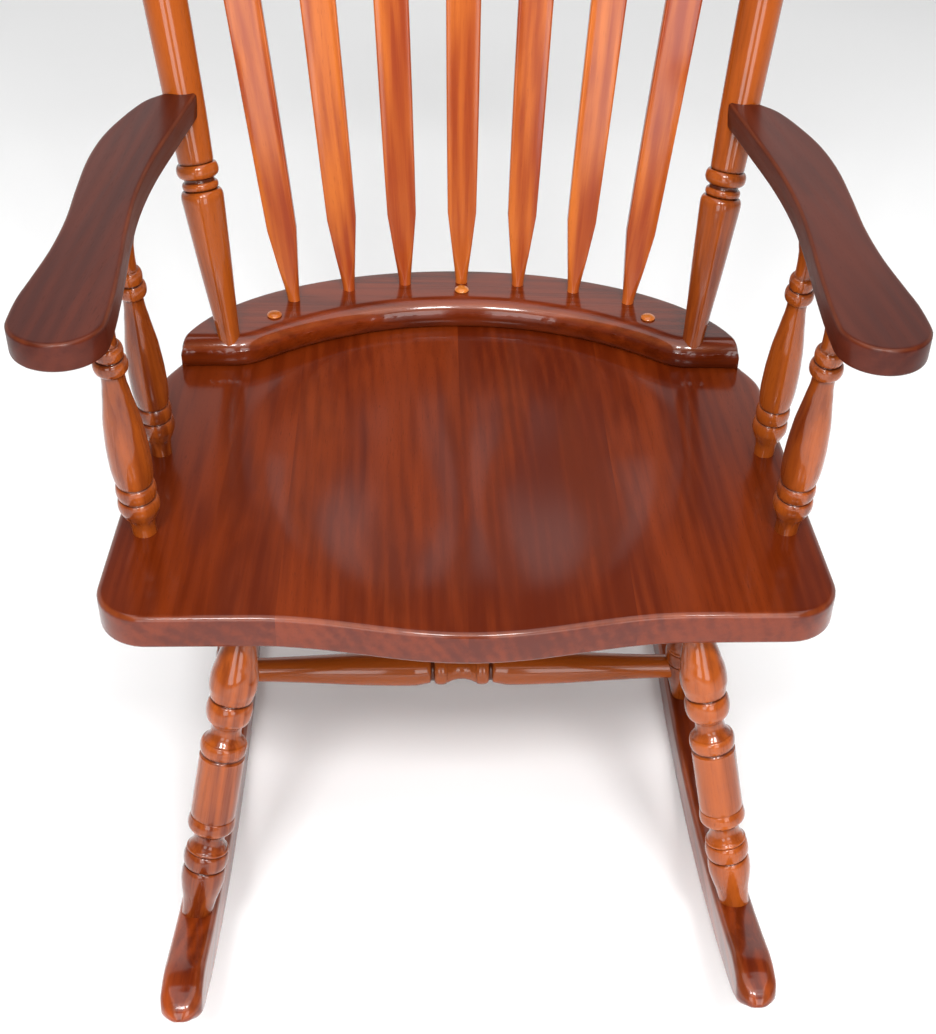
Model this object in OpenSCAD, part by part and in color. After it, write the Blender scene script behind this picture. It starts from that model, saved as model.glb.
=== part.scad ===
// Rocking chair with arrow-shaped back spindles, shaped arms and turned legs.
// Millimetres. X points right as seen from the front, Y to the back, Z up.
// The origin is on the floor, midway between the points where the rockers touch it.
// Left and right are as seen from the front.

/* [Seat] */
// Height of the seat's top above the floor
seat_h = 374; // [330:1:460]
// Width of the seat at its widest
seat_w = 560; // [460:1:680]
// Depth of the seat from its front edge to the foot of the back rail
seat_d = 363; // [300:1:440]
// Thickness of the seat boards
seat_t = 29; // [24:1:40]
// How far the middle of the front edge swells forward
front_swell = 21; // [5:1:35]
// Half width of the swell in the front edge
swell_half = 165; // [120:1:175]
// Radius of the seat's front corners
seat_corner = 38; // [15:1:50]
// How much each side draws in towards the back
seat_taper = 14; // [5:1:30]
// Depth of the two sitting hollows
hollow_depth = 9; // [3:1:13]
// Radius of each sitting hollow seen from above
hollow_r = 145; // [100:1:160]
// Distance of each hollow's middle from the middle of the seat
hollow_x = 80; // [60:1:90]
// Distance of each hollow's middle behind the front edge
hollow_y = 235; // [200:1:240]

/* [Back rail] */
// Height of the curved rail on the back of the seat
rail_h = 26.6; // [20:0.2:40]
// Distance from the seat's widest side to the end of the rail
rail_inset = 24; // [15:1:40]
// Length of the straight stretch at each end of the rail's front
rail_land = 64; // [50:1:90]
// Depth of the hollow curve in the rail's front
rail_hollow = 71; // [40:1:90]
// Depth of the rail from front to back in the middle
rail_depth = 63; // [55:1:80]
// How far the seat stands out behind the rail
rail_ledge = 4; // [1:1:12]
// Diameter of the round wooden buttons on the rail
button_d = 13.5; // [11:0.5:20]

/* [Back posts and spindles] */
// Distance from the seat's widest side to the middle of a post's foot
post_inset = 71; // [60:1:90]
// Distance from the rail's front to the middle of a post's foot
post_set = 14; // [12:1:20]
// Diameter of a post's foot
post_foot_d = 19.7; // [18:0.1:26]
// Greatest diameter of the lower, vase-shaped length of a post
post_vase_d = 35.4; // [28:0.2:42]
// Diameter of a post's shaft just above its collar
post_low_d = 30; // [26:0.5:36]
// Greatest diameter of a post's shaft
post_mid_d = 36.5; // [32:0.5:42]
// Diameter of a post just under the crest rail
post_top_d = 23; // [20:0.5:30]
// Height of a post's collar above the rail
post_collar_z = 146; // [120:1:160]
// How far each post spreads outwards on its way up
post_spread = 69; // [30:1:90]
// Gap between the outer spindle and the post, at the rail
spindle_gap = 54; // [45:1:70]
// Gap between the outer spindle and the post, at the crest rail
spindle_top_gap = 57; // [45:1:80]
// Diameter of a spindle's foot
spindle_foot_d = 11.3; // [10:0.1:14]
// Width of a spindle's blade at its arrow shoulder
spindle_shoulder_w = 26.3; // [18:0.1:34]
// Greatest width of a spindle's blade
spindle_blade_w = 33; // [26:0.5:40]
// Thickness of a spindle's blade
spindle_t = 10.5; // [8:0.5:13]
// Height of a spindle's arrow shoulder above the rail
spindle_shoulder_z = 67; // [50:1:90]

/* [Crest rail] */
// Height of the crest rail's lower edge above the seat
crest_z = 560; // [460:1:620]
// Distance from the rail's front to the middle of the crest rail
crest_back = 206; // [150:1:230]
// Height of the crest rail in the middle
crest_h = 92; // [76:1:110]
// How much lower the crest rail is at its ends
crest_drop = 32; // [0:1:34]
// Thickness of the crest rail
crest_t = 24; // [22:1:30]
// How far the crest rail bows from its middle to the posts
crest_bow = 69.5; // [40:0.5:90]
// Backward lean of the crest rail in degrees
crest_lean = 11; // [5:0.5:16]
// How far the crest rail runs past the middle of each post
crest_overhang = 27; // [20:1:40]

/* [Arms] */
// Height of the arms' top above the seat
arm_z = 235; // [200:1:260]
// Thickness of the arms
arm_t = 21; // [18:0.5:26]
// Length of an arm from the middle of the post to its front
arm_len = 408; // [380:1:430]
// Radius of an arm's round front
arm_front_r = 32.5; // [28:0.5:36]
// Distance from the post to the front support's top
support_front_u = 322; // [300:1:340]
// Distance from the post to the rear support's top
support_rear_u = 215; // [190:1:230]
// How far a support's foot stands behind its top
support_rake = 26; // [0:1:40]
// Distance from the seat's widest side to a support's foot
support_inset = 27; // [24:1:34]
// How far a support leans outwards on its way up
support_spread = 4; // [0:1:10]
// Greatest diameter of a front support
support_d = 32; // [26:0.5:36]

/* [Legs and stretcher] */
// Distance from the seat's widest side to the top of a front leg
leg_front_inset = 107; // [80:1:130]
// Distance from the seat's widest side to the top of a rear leg
leg_rear_inset = 85; // [70:1:110]
// Distance from the seat's front edge to the top of a front leg
leg_front_y = 57; // [45:1:90]
// Distance from the seat's front edge to the top of a rear leg
leg_rear_y = 255; // [220:1:270]
// How far a front leg reaches forward on its way down
leg_front_rake = 67; // [30:1:90]
// How far a rear leg reaches backward on its way down
leg_rear_rake = 40; // [20:1:80]
// Greatest diameter of a leg
leg_d = 37.6; // [32:0.2:42]
// Height of the stretcher above the rockers' top
stretcher_z = 40; // [36:1:60]
// Greatest diameter of the stretcher
stretcher_d = 34.5; // [28:0.5:38]
// Diameter of the stretcher's ends
stretcher_end_d = 23.4; // [20:0.2:26]

/* [Rockers] */
// Radius of the rockers' underside
rocker_r = 1120; // [900:10:1400]
// Height of a rocker
rocker_h = 34; // [30:1:44]
// Width of a rocker
rocker_w = 32; // [28:1:40]
// Distance from the seat's widest side to the middle of a rocker
rocker_inset = 55; // [40:1:70]
// Distance from the seat's front edge to where the rockers touch the floor
rock_point = 308; // [280:1:330]
// Distance from the floor point to the front end of a rocker
rocker_front = 437; // [390:1:500]
// Distance from the floor point to the rear end of a rocker
rocker_rear = 437; // [390:1:520]

/* [Joinery] */
// Diameter of the tenons on the legs
leg_tenon_d = 17; // [14:0.5:20]
// Diameter of the tenons on the posts
post_tenon_d = 15; // [13:0.5:17]
// Diameter of the tenons on the arm supports and the stretcher
small_tenon_d = 13; // [10:0.5:15]
// Diameter of the tenons on the spindles
spindle_tenon_d = 9; // [7:0.5:10]
// Length of the tenons
tenon_len = 16; // [12:1:18]
// Length of the tenons that stand in the crest rail
crest_tenon = 26; // [16:1:34]
// Play between a tenon and its socket, on the radius
fit = 0.15; // [0.05:0.05:0.4]
// Room left at the end of a socket
end_gap = 1; // [0.5:0.5:3]
// Diameter of the screws' shanks
screw_d = 4.5; // [3.5:0.5:5]
// Diameter of the screws' heads
screw_head_d = 8; // [7:0.5:9]

/* [Hidden] */
$fn = 48;

seat_colour = "#7a2c16";
rail_colour = "#8b3a1d";
turned_colour = "#b3622a";
spindle_colour = "#b5653a";
arm_colour = "#5f3330";
rocker_colour = "#7d3519";
button_colour = "#c8803e";
screw_colour = "silver";

// Seat and floor levels
half_w = seat_w / 2;
front_y = -rock_point;
seat_z = seat_h;
under_z = seat_h - seat_t;
rail_y = front_y + seat_d;
rail_z = seat_z + rail_h;
// Glue lines between the boards, as shares of the seat's half width
board_edges = [-1, -0.521, -0.015, 0.439, 1];
// Radius of the ball that cuts a hollow of the named depth and radius
hollow_ball = (hollow_r * hollow_r + hollow_depth * hollow_depth) / (2 * hollow_depth);
side_start = seat_corner + front_swell;
rear_corner = 21;

// Back rail: an arc of a circle in front and a half ellipse behind
rail_half = half_w - rail_inset;
rail_chord = rail_half - rail_land;
rail_arc_r = (rail_chord * rail_chord + rail_hollow * rail_hollow) / (2 * rail_hollow);
rail_root = 23;
rail_back = rail_hollow + rail_depth + rail_root;
button_h = 4;
button_bore = 10;
button_stem_d = screw_head_d + 1;
// Where the spindles and buttons stand across the rail, from 0 in front to 1 behind
spindle_line = 0.66;
button_line = 0.39;
button_x = rail_chord * 0.89;

// Posts
post_x = half_w - post_inset;
post_y = rail_y + post_set;
post_top_x = post_x + post_spread;
shaft_full_share = 0.62;
// Share of the crest rail's bow that is even; the rest gathers near the posts
even_bow = 0.4;
// Angle between neighbouring spindles, seen from the middle of their curve
spindle_step = 8.2;

// Arms
arm_under = seat_z + arm_z - arm_t;
arm_mid = arm_under + arm_t / 2;

// Legs and rockers
rocker_x = half_w - rocker_inset;
rocker_top_r = rocker_r - rocker_h;
rocker_round = 3;
rocker_nose = rocker_h / 2;
reach = 60;
// Turn of every round face's seam away from the side that its axis leans to
seam_turn = 70;

function ease(a, b, t) = a + (b - a) * (1 - cos(180 * t)) / 2;
function mix(a, b, t) = a + (b - a) * t;
function square_root_side(r, x) = sqrt(max(r * r - x * x, 0));
function mirrored(points) = [for (i = [len(points) - 1 : -1 : 0]) [-points[i].x, points[i].y]];

// Plan curves, measured from the front of the seat's middle line
function front_edge(x) = front_y + (abs(x) >= swell_half
    ? front_swell
    : front_swell * (1 - cos(180 * abs(x) / swell_half)) / 2);
function rail_front(x) = rail_y + (abs(x) >= rail_chord
    ? 0
    : square_root_side(rail_arc_r, x) - (rail_arc_r - rail_hollow));
function rail_rear(x) = rail_y - rail_root
    + rail_back * square_root_side(1, x / rail_half);
function across_rail(x, share) = mix(rail_front(x), rail_rear(x), share);

// Crest rail: a bowed board that leans back, seen from its own lower edge
function crest_sag(x) = crest_bow
    * (even_bow * pow(x / post_top_x, 2) + (1 - even_bow) * pow(x / post_top_x, 4));
function crest_point(x, up) = [
    x,
    rail_y + crest_back - crest_sag(x) * cos(crest_lean) + up * sin(crest_lean),
    seat_z + crest_z + crest_sag(x) * sin(crest_lean) + up * cos(crest_lean)
];

// Axis end points
function spindle_x(i) = (post_x - spindle_gap) * sin(i * spindle_step) / sin(3 * spindle_step);
function spindle_foot(i) = [spindle_x(i), across_rail(spindle_x(i), spindle_line), rail_z];
function spindle_top(i) = crest_point(i * (post_top_x - spindle_top_gap) / 3, 0);
post_foot = [post_x, post_y, rail_z];
post_top = crest_point(post_top_x, 0);
post_len = norm(post_top - post_foot);
function post_at(z) = mix(post_foot, post_top, (z - rail_z) / (post_top.z - rail_z));
post_at_arm = post_at(arm_mid);
function arm_support_top(u) = [
    half_w - support_inset + support_spread, post_at_arm.y - u, arm_under];
function arm_support_foot(u) = [
    half_w - support_inset, post_at_arm.y - u + support_rake, seat_z];
function rocker_top(y) = rocker_r - square_root_side(rocker_top_r, y);
function leg_top(inset, y) = [half_w - inset, front_y + y, under_z];
function leg_foot(y) = [rocker_x, y, rocker_top(y)];
front_leg_top = leg_top(leg_front_inset, leg_front_y);
front_leg_foot = leg_foot(front_leg_top.y - leg_front_rake);
rear_leg_top = leg_top(leg_rear_inset, leg_rear_y);
rear_leg_foot = leg_foot(rear_leg_top.y + leg_rear_rake);
stretcher_end = mix(rear_leg_foot, rear_leg_top,
    stretcher_z / (rear_leg_top.z - rear_leg_foot.z));

// Profile pieces of a turning, as [radius, height] points from the bottom up
function bead(z, d, h) = [for (a = [-70 : 35 : 70])
    [d / 2 - h / 2 * (1 - cos(a)), z + h / 2 * sin(a)]];
function flare(z0, d0, z1, d1) = [for (i = [0 : 4]) [ease(d0, d1, i / 4) / 2, mix(z0, z1, i / 4)]];
function grow(z0, d0, z1, d1) = [for (i = [0 : 4])
    [mix(d0, d1, sin(90 * i / 4)) / 2, mix(z0, z1, i / 4)]];
function shrink(z0, d0, z1, d1) = [for (i = [0 : 4])
    [mix(d1, d0, cos(90 * i / 4)) / 2, mix(z0, z1, i / 4)]];

// Heights along a leg are shares of its length, the way a turner's pattern stick gives them
function leg_profile(l) = concat(
    [[0, -reach], [leg_d / 2 - 6.3, -reach]],
    grow(0, leg_d - 12.6, l * 0.15, leg_d - 2.3),
    [[leg_d / 2 - 2.3, l * 0.172]],
    bead(l * 0.193, leg_d - 1.8, 7),
    bead(l * 0.221, leg_d - 1.8, 7),
    [[leg_d / 2 - 6.5, l * 0.26], [leg_d / 2 - 6.5, l * 0.29]],
    bead(l * 0.308, leg_d - 5, 6),
    [[leg_d / 2 - 0.8, l * 0.33], [leg_d / 2 - 0.8, l * 0.545]],
    [[leg_d / 2 - 2.3, l * 0.553]],
    bead(l * 0.589, leg_d - 0.9, 15),
    flare(l * 0.62, leg_d - 12, l * 0.641, leg_d - 14),
    bead(l * 0.708, leg_d - 1.6, 16),
    grow(l * 0.737, leg_d - 6, l * 0.791, leg_d),
    flare(l * 0.8, leg_d, l * 0.93, leg_d - 12.6),
    [[leg_d / 2 - 7.3, l], [leg_d / 2 - 7.3, l + reach], [0, l + reach]]
);
function support_profile(l, d) = concat(
    [[0, -reach], [d / 2 - 6.75, -reach], [d / 2 - 6.75, l * 0.05]],
    bead(l * 0.14, d, 14),
    bead(l * 0.215, d - 1.5, 13),
    [[d / 2 - 2.75, l * 0.25]],
    grow(l * 0.26, d - 4, l * 0.36, d - 0.5),
    flare(l * 0.42, d - 0.8, l * 0.73, d - 15.4),
    bead(l * 0.77, d - 7, 9),
    bead(l * 0.84, d - 11.4, 8),
    [[d / 2 - 8.5, l * 0.88], [d / 2 - 8.2, l], [d / 2 - 8.2, l + reach], [0, l + reach]]
);
post_collar_d = post_vase_d - 1.1;
post_profile = concat(
    [[0, -reach], [post_foot_d / 2, -reach], [post_foot_d / 2, 4]],
    flare(6, post_foot_d, post_collar_z - 20, post_vase_d),
    [[post_vase_d / 2 - 3.2, post_collar_z - 16]],
    bead(post_collar_z - 12, post_vase_d - 6.4, 5),
    [[post_vase_d / 2 - 5.2, post_collar_z - 8]],
    bead(post_collar_z, post_collar_d, 11),
    [[post_low_d / 2, post_collar_z + 9]],
    grow(post_collar_z + 10, post_low_d, post_len * shaft_full_share, post_mid_d),
    flare(post_len * 0.66, post_mid_d, post_len * 0.9, post_top_d + 5),
    bead(post_len * 0.925, post_top_d + 10, 11),
    [[post_top_d / 2, post_len * 0.95], [post_top_d / 2, post_len + reach], [0, post_len + reach]]
);

// Stands the children at point p, with their Z axis aimed at point q
module aim(p, q) {
    v = q - p;
    translate(p) rotate([0, atan2(norm([v.x, v.y]), v.z), atan2(v.y, v.x)])
        rotate([0, 0, seam_turn]) children();
}
// The same, but keeps flat shapes square to the front
module lean(p, q) {
    v = q - p;
    back = atan2(v.y, v.z);
    translate(p) rotate([-back, 0, 0]) rotate([0, atan2(v.x, norm([v.y, v.z])), 0]) children();
}
module on_side(s) {
    if (s > 0) children();
    else mirror([1, 0, 0]) children();
}
module both_sides() {
    children();
    mirror([1, 0, 0]) children();
}
module peg(d, z0, z1) {
    translate([0, 0, z0]) cylinder(d = d, h = z1 - z0);
}
module slab(z0, z1) {
    translate([-600, -800, z0]) cube([1200, 1600, z1 - z0]);
}

// Sockets, drilled along the axis of the piece that they hold
module front_leg_sockets() {
    aim(front_leg_foot, front_leg_top) leg_drill(front_leg_top, front_leg_foot);
}
module rear_leg_sockets() {
    aim(rear_leg_foot, rear_leg_top) leg_drill(rear_leg_top, rear_leg_foot);
}
module leg_drill(top, foot) {
    l = norm(top - foot);
    peg(leg_tenon_d + 2 * fit, -tenon_len - end_gap, l + tenon_len + end_gap);
}
module support_drill(u) {
    foot = arm_support_foot(u);
    top = arm_support_top(u);
    aim(foot, top)
        peg(small_tenon_d + 2 * fit, -tenon_len - end_gap, norm(top - foot) + tenon_len - 1);
}
module post_drill() {
    aim(post_foot, post_top)
        peg(post_tenon_d + 2 * fit, -rail_h - tenon_len - end_gap,
            post_len + crest_tenon + end_gap);
}
module spindle_drill(i) {
    foot = spindle_foot(i);
    top = spindle_top(i);
    aim(foot, top)
        peg(spindle_tenon_d + 2 * fit, -tenon_len - end_gap,
            norm(top - foot) + crest_tenon + end_gap);
}
module at_buttons() {
    translate([0, across_rail(0, button_line), rail_z]) children();
    for (s = [-1, 1])
        translate([s * button_x, across_rail(button_x, button_line), rail_z]) children();
}

// Seat
module seat_outline() {
    side_x = function(y) half_w - seat_taper * (y - side_start) / (seat_d - side_start);
    corner = [half_w - seat_corner, front_y + front_swell + seat_corner];
    right = concat(
        [for (i = [0 : 12]) [swell_half * i / 12, front_edge(swell_half * i / 12)]],
        [for (a = [-90 : 15 : 0]) corner + seat_corner * [cos(a), sin(a)]],
        [[side_x(seat_d - rear_corner), rail_y - rear_corner],
            [rail_half + rail_ledge, rail_y]]
    );
    polygon(concat(right, mirrored([for (i = [1 : len(right) - 1]) right[i]])));
    polygon([for (a = [0 : 6 : 180])
        [(rail_half + rail_ledge) * cos(a), rail_y - rail_root
            + (rail_back + rail_ledge) * sin(a)]]);
}
module seat_board(i) {
    color(seat_colour) difference() {
        translate([0, 0, under_z]) linear_extrude(seat_t) intersection() {
            seat_outline();
            translate([board_edges[i - 1] * half_w, -800])
                square([(board_edges[i] - board_edges[i - 1]) * half_w, 1600]);
        }
        for (s = [-1, 1])
            translate([s * hollow_x, front_y + hollow_y, seat_z - hollow_depth + hollow_ball])
                sphere(r = hollow_ball, $fn = 240);
        both_sides() front_leg_sockets();
        both_sides() rear_leg_sockets();
        both_sides() support_drill(support_front_u);
        both_sides() support_drill(support_rear_u);
        both_sides() post_drill();
        at_buttons() peg(screw_d, -rail_h - 20, 1);
    }
}

// Back rail, with its screws and buttons
module rail_outline() {
    front = [for (i = [-12 : 12]) [rail_chord * i / 12, rail_front(rail_chord * i / 12)]];
    start = asin(rail_root / rail_back);
    rear = [for (i = [0 : 32])
        let (a = mix(start, 180 - start, i / 32))
        [rail_half * cos(a), rail_y - rail_root + rail_back * sin(a)]];
    polygon(concat(front, rear));
}
module back_rail() {
    color(rail_colour) difference() {
        translate([0, 0, seat_z]) linear_extrude(rail_h) rail_outline();
        both_sides() post_drill();
        for (i = [-3 : 3]) spindle_drill(i);
        at_buttons() peg(screw_d, -rail_h - 1, 1);
        at_buttons() peg(button_stem_d + 2 * fit, -button_bore, 1);
    }
}
module rail_buttons() {
    color(button_colour) at_buttons() rotate_extrude()
        polygon(concat(
            [[0, 3 - button_bore], [button_stem_d / 2, 3 - button_bore],
                [button_stem_d / 2, 0], [button_d / 2, 0]],
            [for (a = [0 : 15 : 90]) [button_d / 2 * cos(a), 1 + (button_h - 1) * sin(a)]]
        ));
}
module screw(l) {
    rotate_extrude() polygon([
        [0, -l], [screw_d / 2 - 1, 3 - l], [screw_d / 2 - 0.3, 6 - l], [screw_d / 2 - 0.3, 0],
        [screw_head_d / 2, 0], [screw_head_d / 2, 1.5], [screw_head_d / 2 - 1, 2.5], [0, 2.5]
    ]);
}
module rail_screws() {
    color(screw_colour) at_buttons() translate([0, 0, -button_bore])
        screw(rail_h - button_bore + 19);
}

// Posts, spindles and crest rail
module post_turning() {
    aim(post_foot, post_top) rotate_extrude() polygon(post_profile);
}
module arm_screw_line() {
    translate(post_at_arm) rotate([90, 0, 0]) children();
}
module back_post(s) {
    color(turned_colour) on_side(s) difference() {
        union() {
            intersection() {
                post_turning();
                slab(rail_z, rail_z + 800);
                under_crest();
            }
            aim(post_foot, post_top)
                peg(post_tenon_d, -rail_h - tenon_len, post_len + crest_tenon);
        }
        arm_screw_line() peg(screw_d, -40, 40);
        arm_screw_line() peg(screw_head_d + 2 * fit, -40, -post_low_d / 6);
    }
}
module in_crest_frame() {
    translate(crest_point(0, 0)) rotate([-crest_lean, 0, 0]) children();
}
module under_crest() {
    in_crest_frame() translate([-600, -800, -900]) cube([1200, 1600, 900]);
}
module spindle(i) {
    color(spindle_colour) on_side(i > 0 ? -1 : 1) spindle_body(-abs(i));
}
module spindle_body(i) {
    foot = spindle_foot(i);
    top = spindle_top(i);
    l = norm(top - foot);
    half = spindle_blade_w / 2;
    edge = concat(
        [[2, 8], [spindle_shoulder_w / 2, spindle_shoulder_z]],
        [for (k = [1 : 5]) [ease(spindle_shoulder_w / 2, half, k / 5),
            mix(spindle_shoulder_z, l * 0.7, k / 5)]],
        [[2, l - 12]]
    );
    intersection() {
        lean(foot, top) union() {
            rotate([90, 0, 0]) linear_extrude(spindle_t, center = true)
                polygon(concat(edge, mirrored(edge)));
            rotate_extrude() polygon([
                [0, -reach], [spindle_foot_d / 2, -reach], [spindle_foot_d / 2, 20],
                [spindle_t / 2, 40], [0, 40]
            ]);
            translate([0, 0, l]) rotate_extrude() polygon([
                [0, -60], [spindle_t / 2, -60], [spindle_foot_d / 2, -30],
                [spindle_foot_d / 2, reach], [0, reach]
            ]);
        }
        slab(rail_z, rail_z + 800);
        under_crest();
    }
    aim(foot, top) peg(spindle_tenon_d, -tenon_len, l + crest_tenon);
}
module crest_rail() {
    half = post_top_x + crest_overhang;
    steps = 10;
    // One long side of the bowed board, half the thickness out from its middle line
    side = function(way) [for (i = [-steps : steps])
        let (x = half * i / steps)
        let (turn = atan(crest_sag(x + 0.5) - crest_sag(x - 0.5)))
        [x, -crest_sag(x)] + way * crest_t / 2 * [sin(turn), cos(turn)]];
    front = side(-1);
    back = side(1);
    round_end = 18;
    top = [for (i = [steps : -1 : -steps])
        let (u = i / steps)
        [(half - round_end) * u, crest_h - crest_drop * u * u]];
    color(rail_colour) difference() {
        in_crest_frame() intersection() {
            linear_extrude(crest_h)
                polygon(concat(front, [for (i = [2 * steps : -1 : 0]) back[i]]));
            rotate([90, 0, 0]) linear_extrude(800, center = true) polygon(concat(
                [[round_end - half, 0], [half - round_end, 0], [half, round_end],
                    [half, crest_h - crest_drop - round_end]],
                top,
                [[-half, crest_h - crest_drop - round_end], [-half, round_end]]
            ));
        }
        both_sides() post_drill();
        for (i = [-3 : 3]) spindle_drill(i);
    }
}

// Arms, seen from above: u runs forward from the post, v outwards from it
module arm_outline() {
    tip = arm_len - arm_front_r;
    mid = 39;
    outer = [[6, 10], [28, 29], [60, 42], [96, 52], [138, 57], [186, 57.5], [235, 57],
        [280, 60], [321, 66]];
    inner = [[343, 6.5], [293, 8.5], [246, 11], [193, 11.5], [135, 7], [66, -3.5], [6, -13]];
    nose = [for (a = [0 : 12 : 180])
        [tip + arm_front_r * sin(a), mid + arm_front_r * cos(a)]];
    rotate([0, 0, -90]) polygon(concat(outer, nose, inner));
}
module arm(s) {
    color(arm_colour) on_side(s) difference() {
        translate([post_at_arm.x, post_at_arm.y, arm_under])
            linear_extrude(arm_t) arm_outline();
        post_turning();
        support_drill(support_front_u);
        support_drill(support_rear_u);
        arm_screw_line() peg(screw_d - 0.4, 0, 52);
    }
}
module arm_support(s, u, d) {
    foot = arm_support_foot(u);
    top = arm_support_top(u);
    l = norm(top - foot);
    color(turned_colour) on_side(s) {
        intersection() {
            aim(foot, top) rotate_extrude() polygon(support_profile(l, d));
            slab(seat_z, arm_under);
        }
        aim(foot, top) peg(small_tenon_d, -tenon_len, l + tenon_len - 2);
    }
}
module arm_screws() {
    color(screw_colour) both_sides() arm_screw_line()
        translate([0, 0, -post_low_d / 6]) rotate([180, 0, 0]) screw(50);
}
module arm_screw_plugs() {
    color(button_colour) both_sides() arm_screw_line()
        peg(screw_head_d, -post_low_d / 2 - 1, -post_low_d / 6 - 3);
}

// Legs, stretcher and rockers
module leg_turning(top, foot) {
    aim(foot, top) rotate_extrude() polygon(leg_profile(norm(top - foot)));
}
module above_rocker() {
    translate([rocker_x, 0, rocker_r]) rotate([0, 90, 0])
        cylinder(r = rocker_top_r, h = 160, center = true, $fn = 180);
}
module leg(s, top, foot) {
    color(turned_colour) on_side(s) difference() {
        union() {
            intersection() {
                leg_turning(top, foot);
                above_rocker();
                slab(0, under_z);
            }
            aim(foot, top) peg(leg_tenon_d, -tenon_len, norm(top - foot) + tenon_len);
        }
        stretcher_socket();
    }
}
module stretcher_socket() {
    translate(stretcher_end - [leg_d / 2 + 2, 0, 0]) rotate([0, 90, 0])
        cylinder(d = small_tenon_d + 2 * fit, h = leg_d / 2 + 6);
}
module rear_stretcher() {
    side = stretcher_end.x;
    cove = stretcher_d / 2 - 6.3;
    rim = stretcher_d / 2 - 0.8;
    // Waist, bead, groove and swelling, as [distance from the middle, radius] points
    right = concat(
        [for (k = [0 : 4]) [15 * k / 4, ease(cove, rim - 0.6, k / 4)]],
        [for (a = [-50 : 25 : 75]) [20.5 + 7 * sin(a), rim - 7 * (1 - cos(a))]],
        [[28.5, stretcher_d / 2 - 4.9]],
        [for (k = [0 : 4]) [mix(31, 50, k / 4), mix(stretcher_d / 2 - 3, stretcher_d / 2,
            sin(90 * k / 4))]],
        [for (k = [1 : 5]) [mix(50, side - 12, k / 5),
            ease(stretcher_d, stretcher_end_d, k / 5) / 2]]
    );
    color(turned_colour) {
        difference() {
            translate([0, stretcher_end.y, stretcher_end.z]) rotate([0, 90, 0])
                rotate_extrude() polygon(concat(
                    [[0, -side]],
                    [for (i = [len(right) - 1 : -1 : 1]) [right[i].y, -right[i].x]],
                    [for (p = right) [p.y, p.x]],
                    [[stretcher_end_d / 2, side - 2], [0, side]]
                ));
            both_sides() leg_turning(rear_leg_top, rear_leg_foot);
        }
        translate([-side, stretcher_end.y, stretcher_end.z]) rotate([0, 90, 0])
            cylinder(d = small_tenon_d, h = 2 * side);
    }
}
module rocker_section() {
    translate([rocker_top_r + rocker_round, -rocker_w / 2])
        square([rocker_h - 2 * rocker_round, rocker_w]);
    translate([rocker_top_r, rocker_round - rocker_w / 2])
        square([rocker_h, rocker_w - 2 * rocker_round]);
    for (r = [rocker_top_r + rocker_round, rocker_r - rocker_round], s = [-1, 1])
        translate([r, s * (rocker_w / 2 - rocker_round)]) circle(r = rocker_round, $fn = 24);
}
module rocker(s) {
    front_a = asin((rocker_front - rocker_nose) / (rocker_r - rocker_nose));
    rear_a = asin((rocker_rear - rocker_nose) / (rocker_r - rocker_nose));
    color(rocker_colour) on_side(s) difference() {
        translate([rocker_x, 0, rocker_r]) rotate([90, 0, 90]) {
            rotate([0, 0, -90 - front_a]) rotate_extrude(angle = front_a + rear_a, $fn = 180)
                rocker_section();
            for (a = [-front_a, rear_a])
                rotate([0, 0, a - 90]) translate([rocker_r - rocker_nose, 0, 0])
                    cylinder(r = rocker_nose, h = rocker_w - 2 * rocker_round, center = true);
        }
        front_leg_sockets();
        rear_leg_sockets();
    }
}

seat_board(1);  // seat_board_1
seat_board(2);  // seat_board_2
seat_board(3);  // seat_board_3
seat_board(4);  // seat_board_4
back_rail();
rail_buttons();
rail_screws();
back_post(-1);  // back_post_left
back_post(1);  // back_post_right
spindle(-3);  // spindle_1
spindle(-2);  // spindle_2
spindle(-1);  // spindle_3
spindle(0);  // spindle_4
spindle(1);  // spindle_5
spindle(2);  // spindle_6
spindle(3);  // spindle_7
crest_rail();
arm(-1);  // arm_left
arm(1);  // arm_right
arm_support(-1, support_front_u, support_d);  // arm_support_front_left
arm_support(1, support_front_u, support_d);  // arm_support_front_right
arm_support(-1, support_rear_u, support_d - 3);  // arm_support_rear_left
arm_support(1, support_rear_u, support_d - 3);  // arm_support_rear_right
arm_screws();
arm_screw_plugs();
leg(-1, front_leg_top, front_leg_foot);  // leg_front_left
leg(1, front_leg_top, front_leg_foot);  // leg_front_right
leg(-1, rear_leg_top, rear_leg_foot);  // leg_rear_left
leg(1, rear_leg_top, rear_leg_foot);  // leg_rear_right
rear_stretcher();
rocker(-1);  // rocker_left
rocker(1);  // rocker_right
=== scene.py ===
"""Rocking chair: the turned, shaped and lacquered wooden pieces, their finishes and the studio."""

import math
import random

import bmesh
import bpy
import numpy as np
from bpy.props import FloatProperty, FloatVectorProperty, PointerProperty
from mathutils import Matrix, Vector


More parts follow.
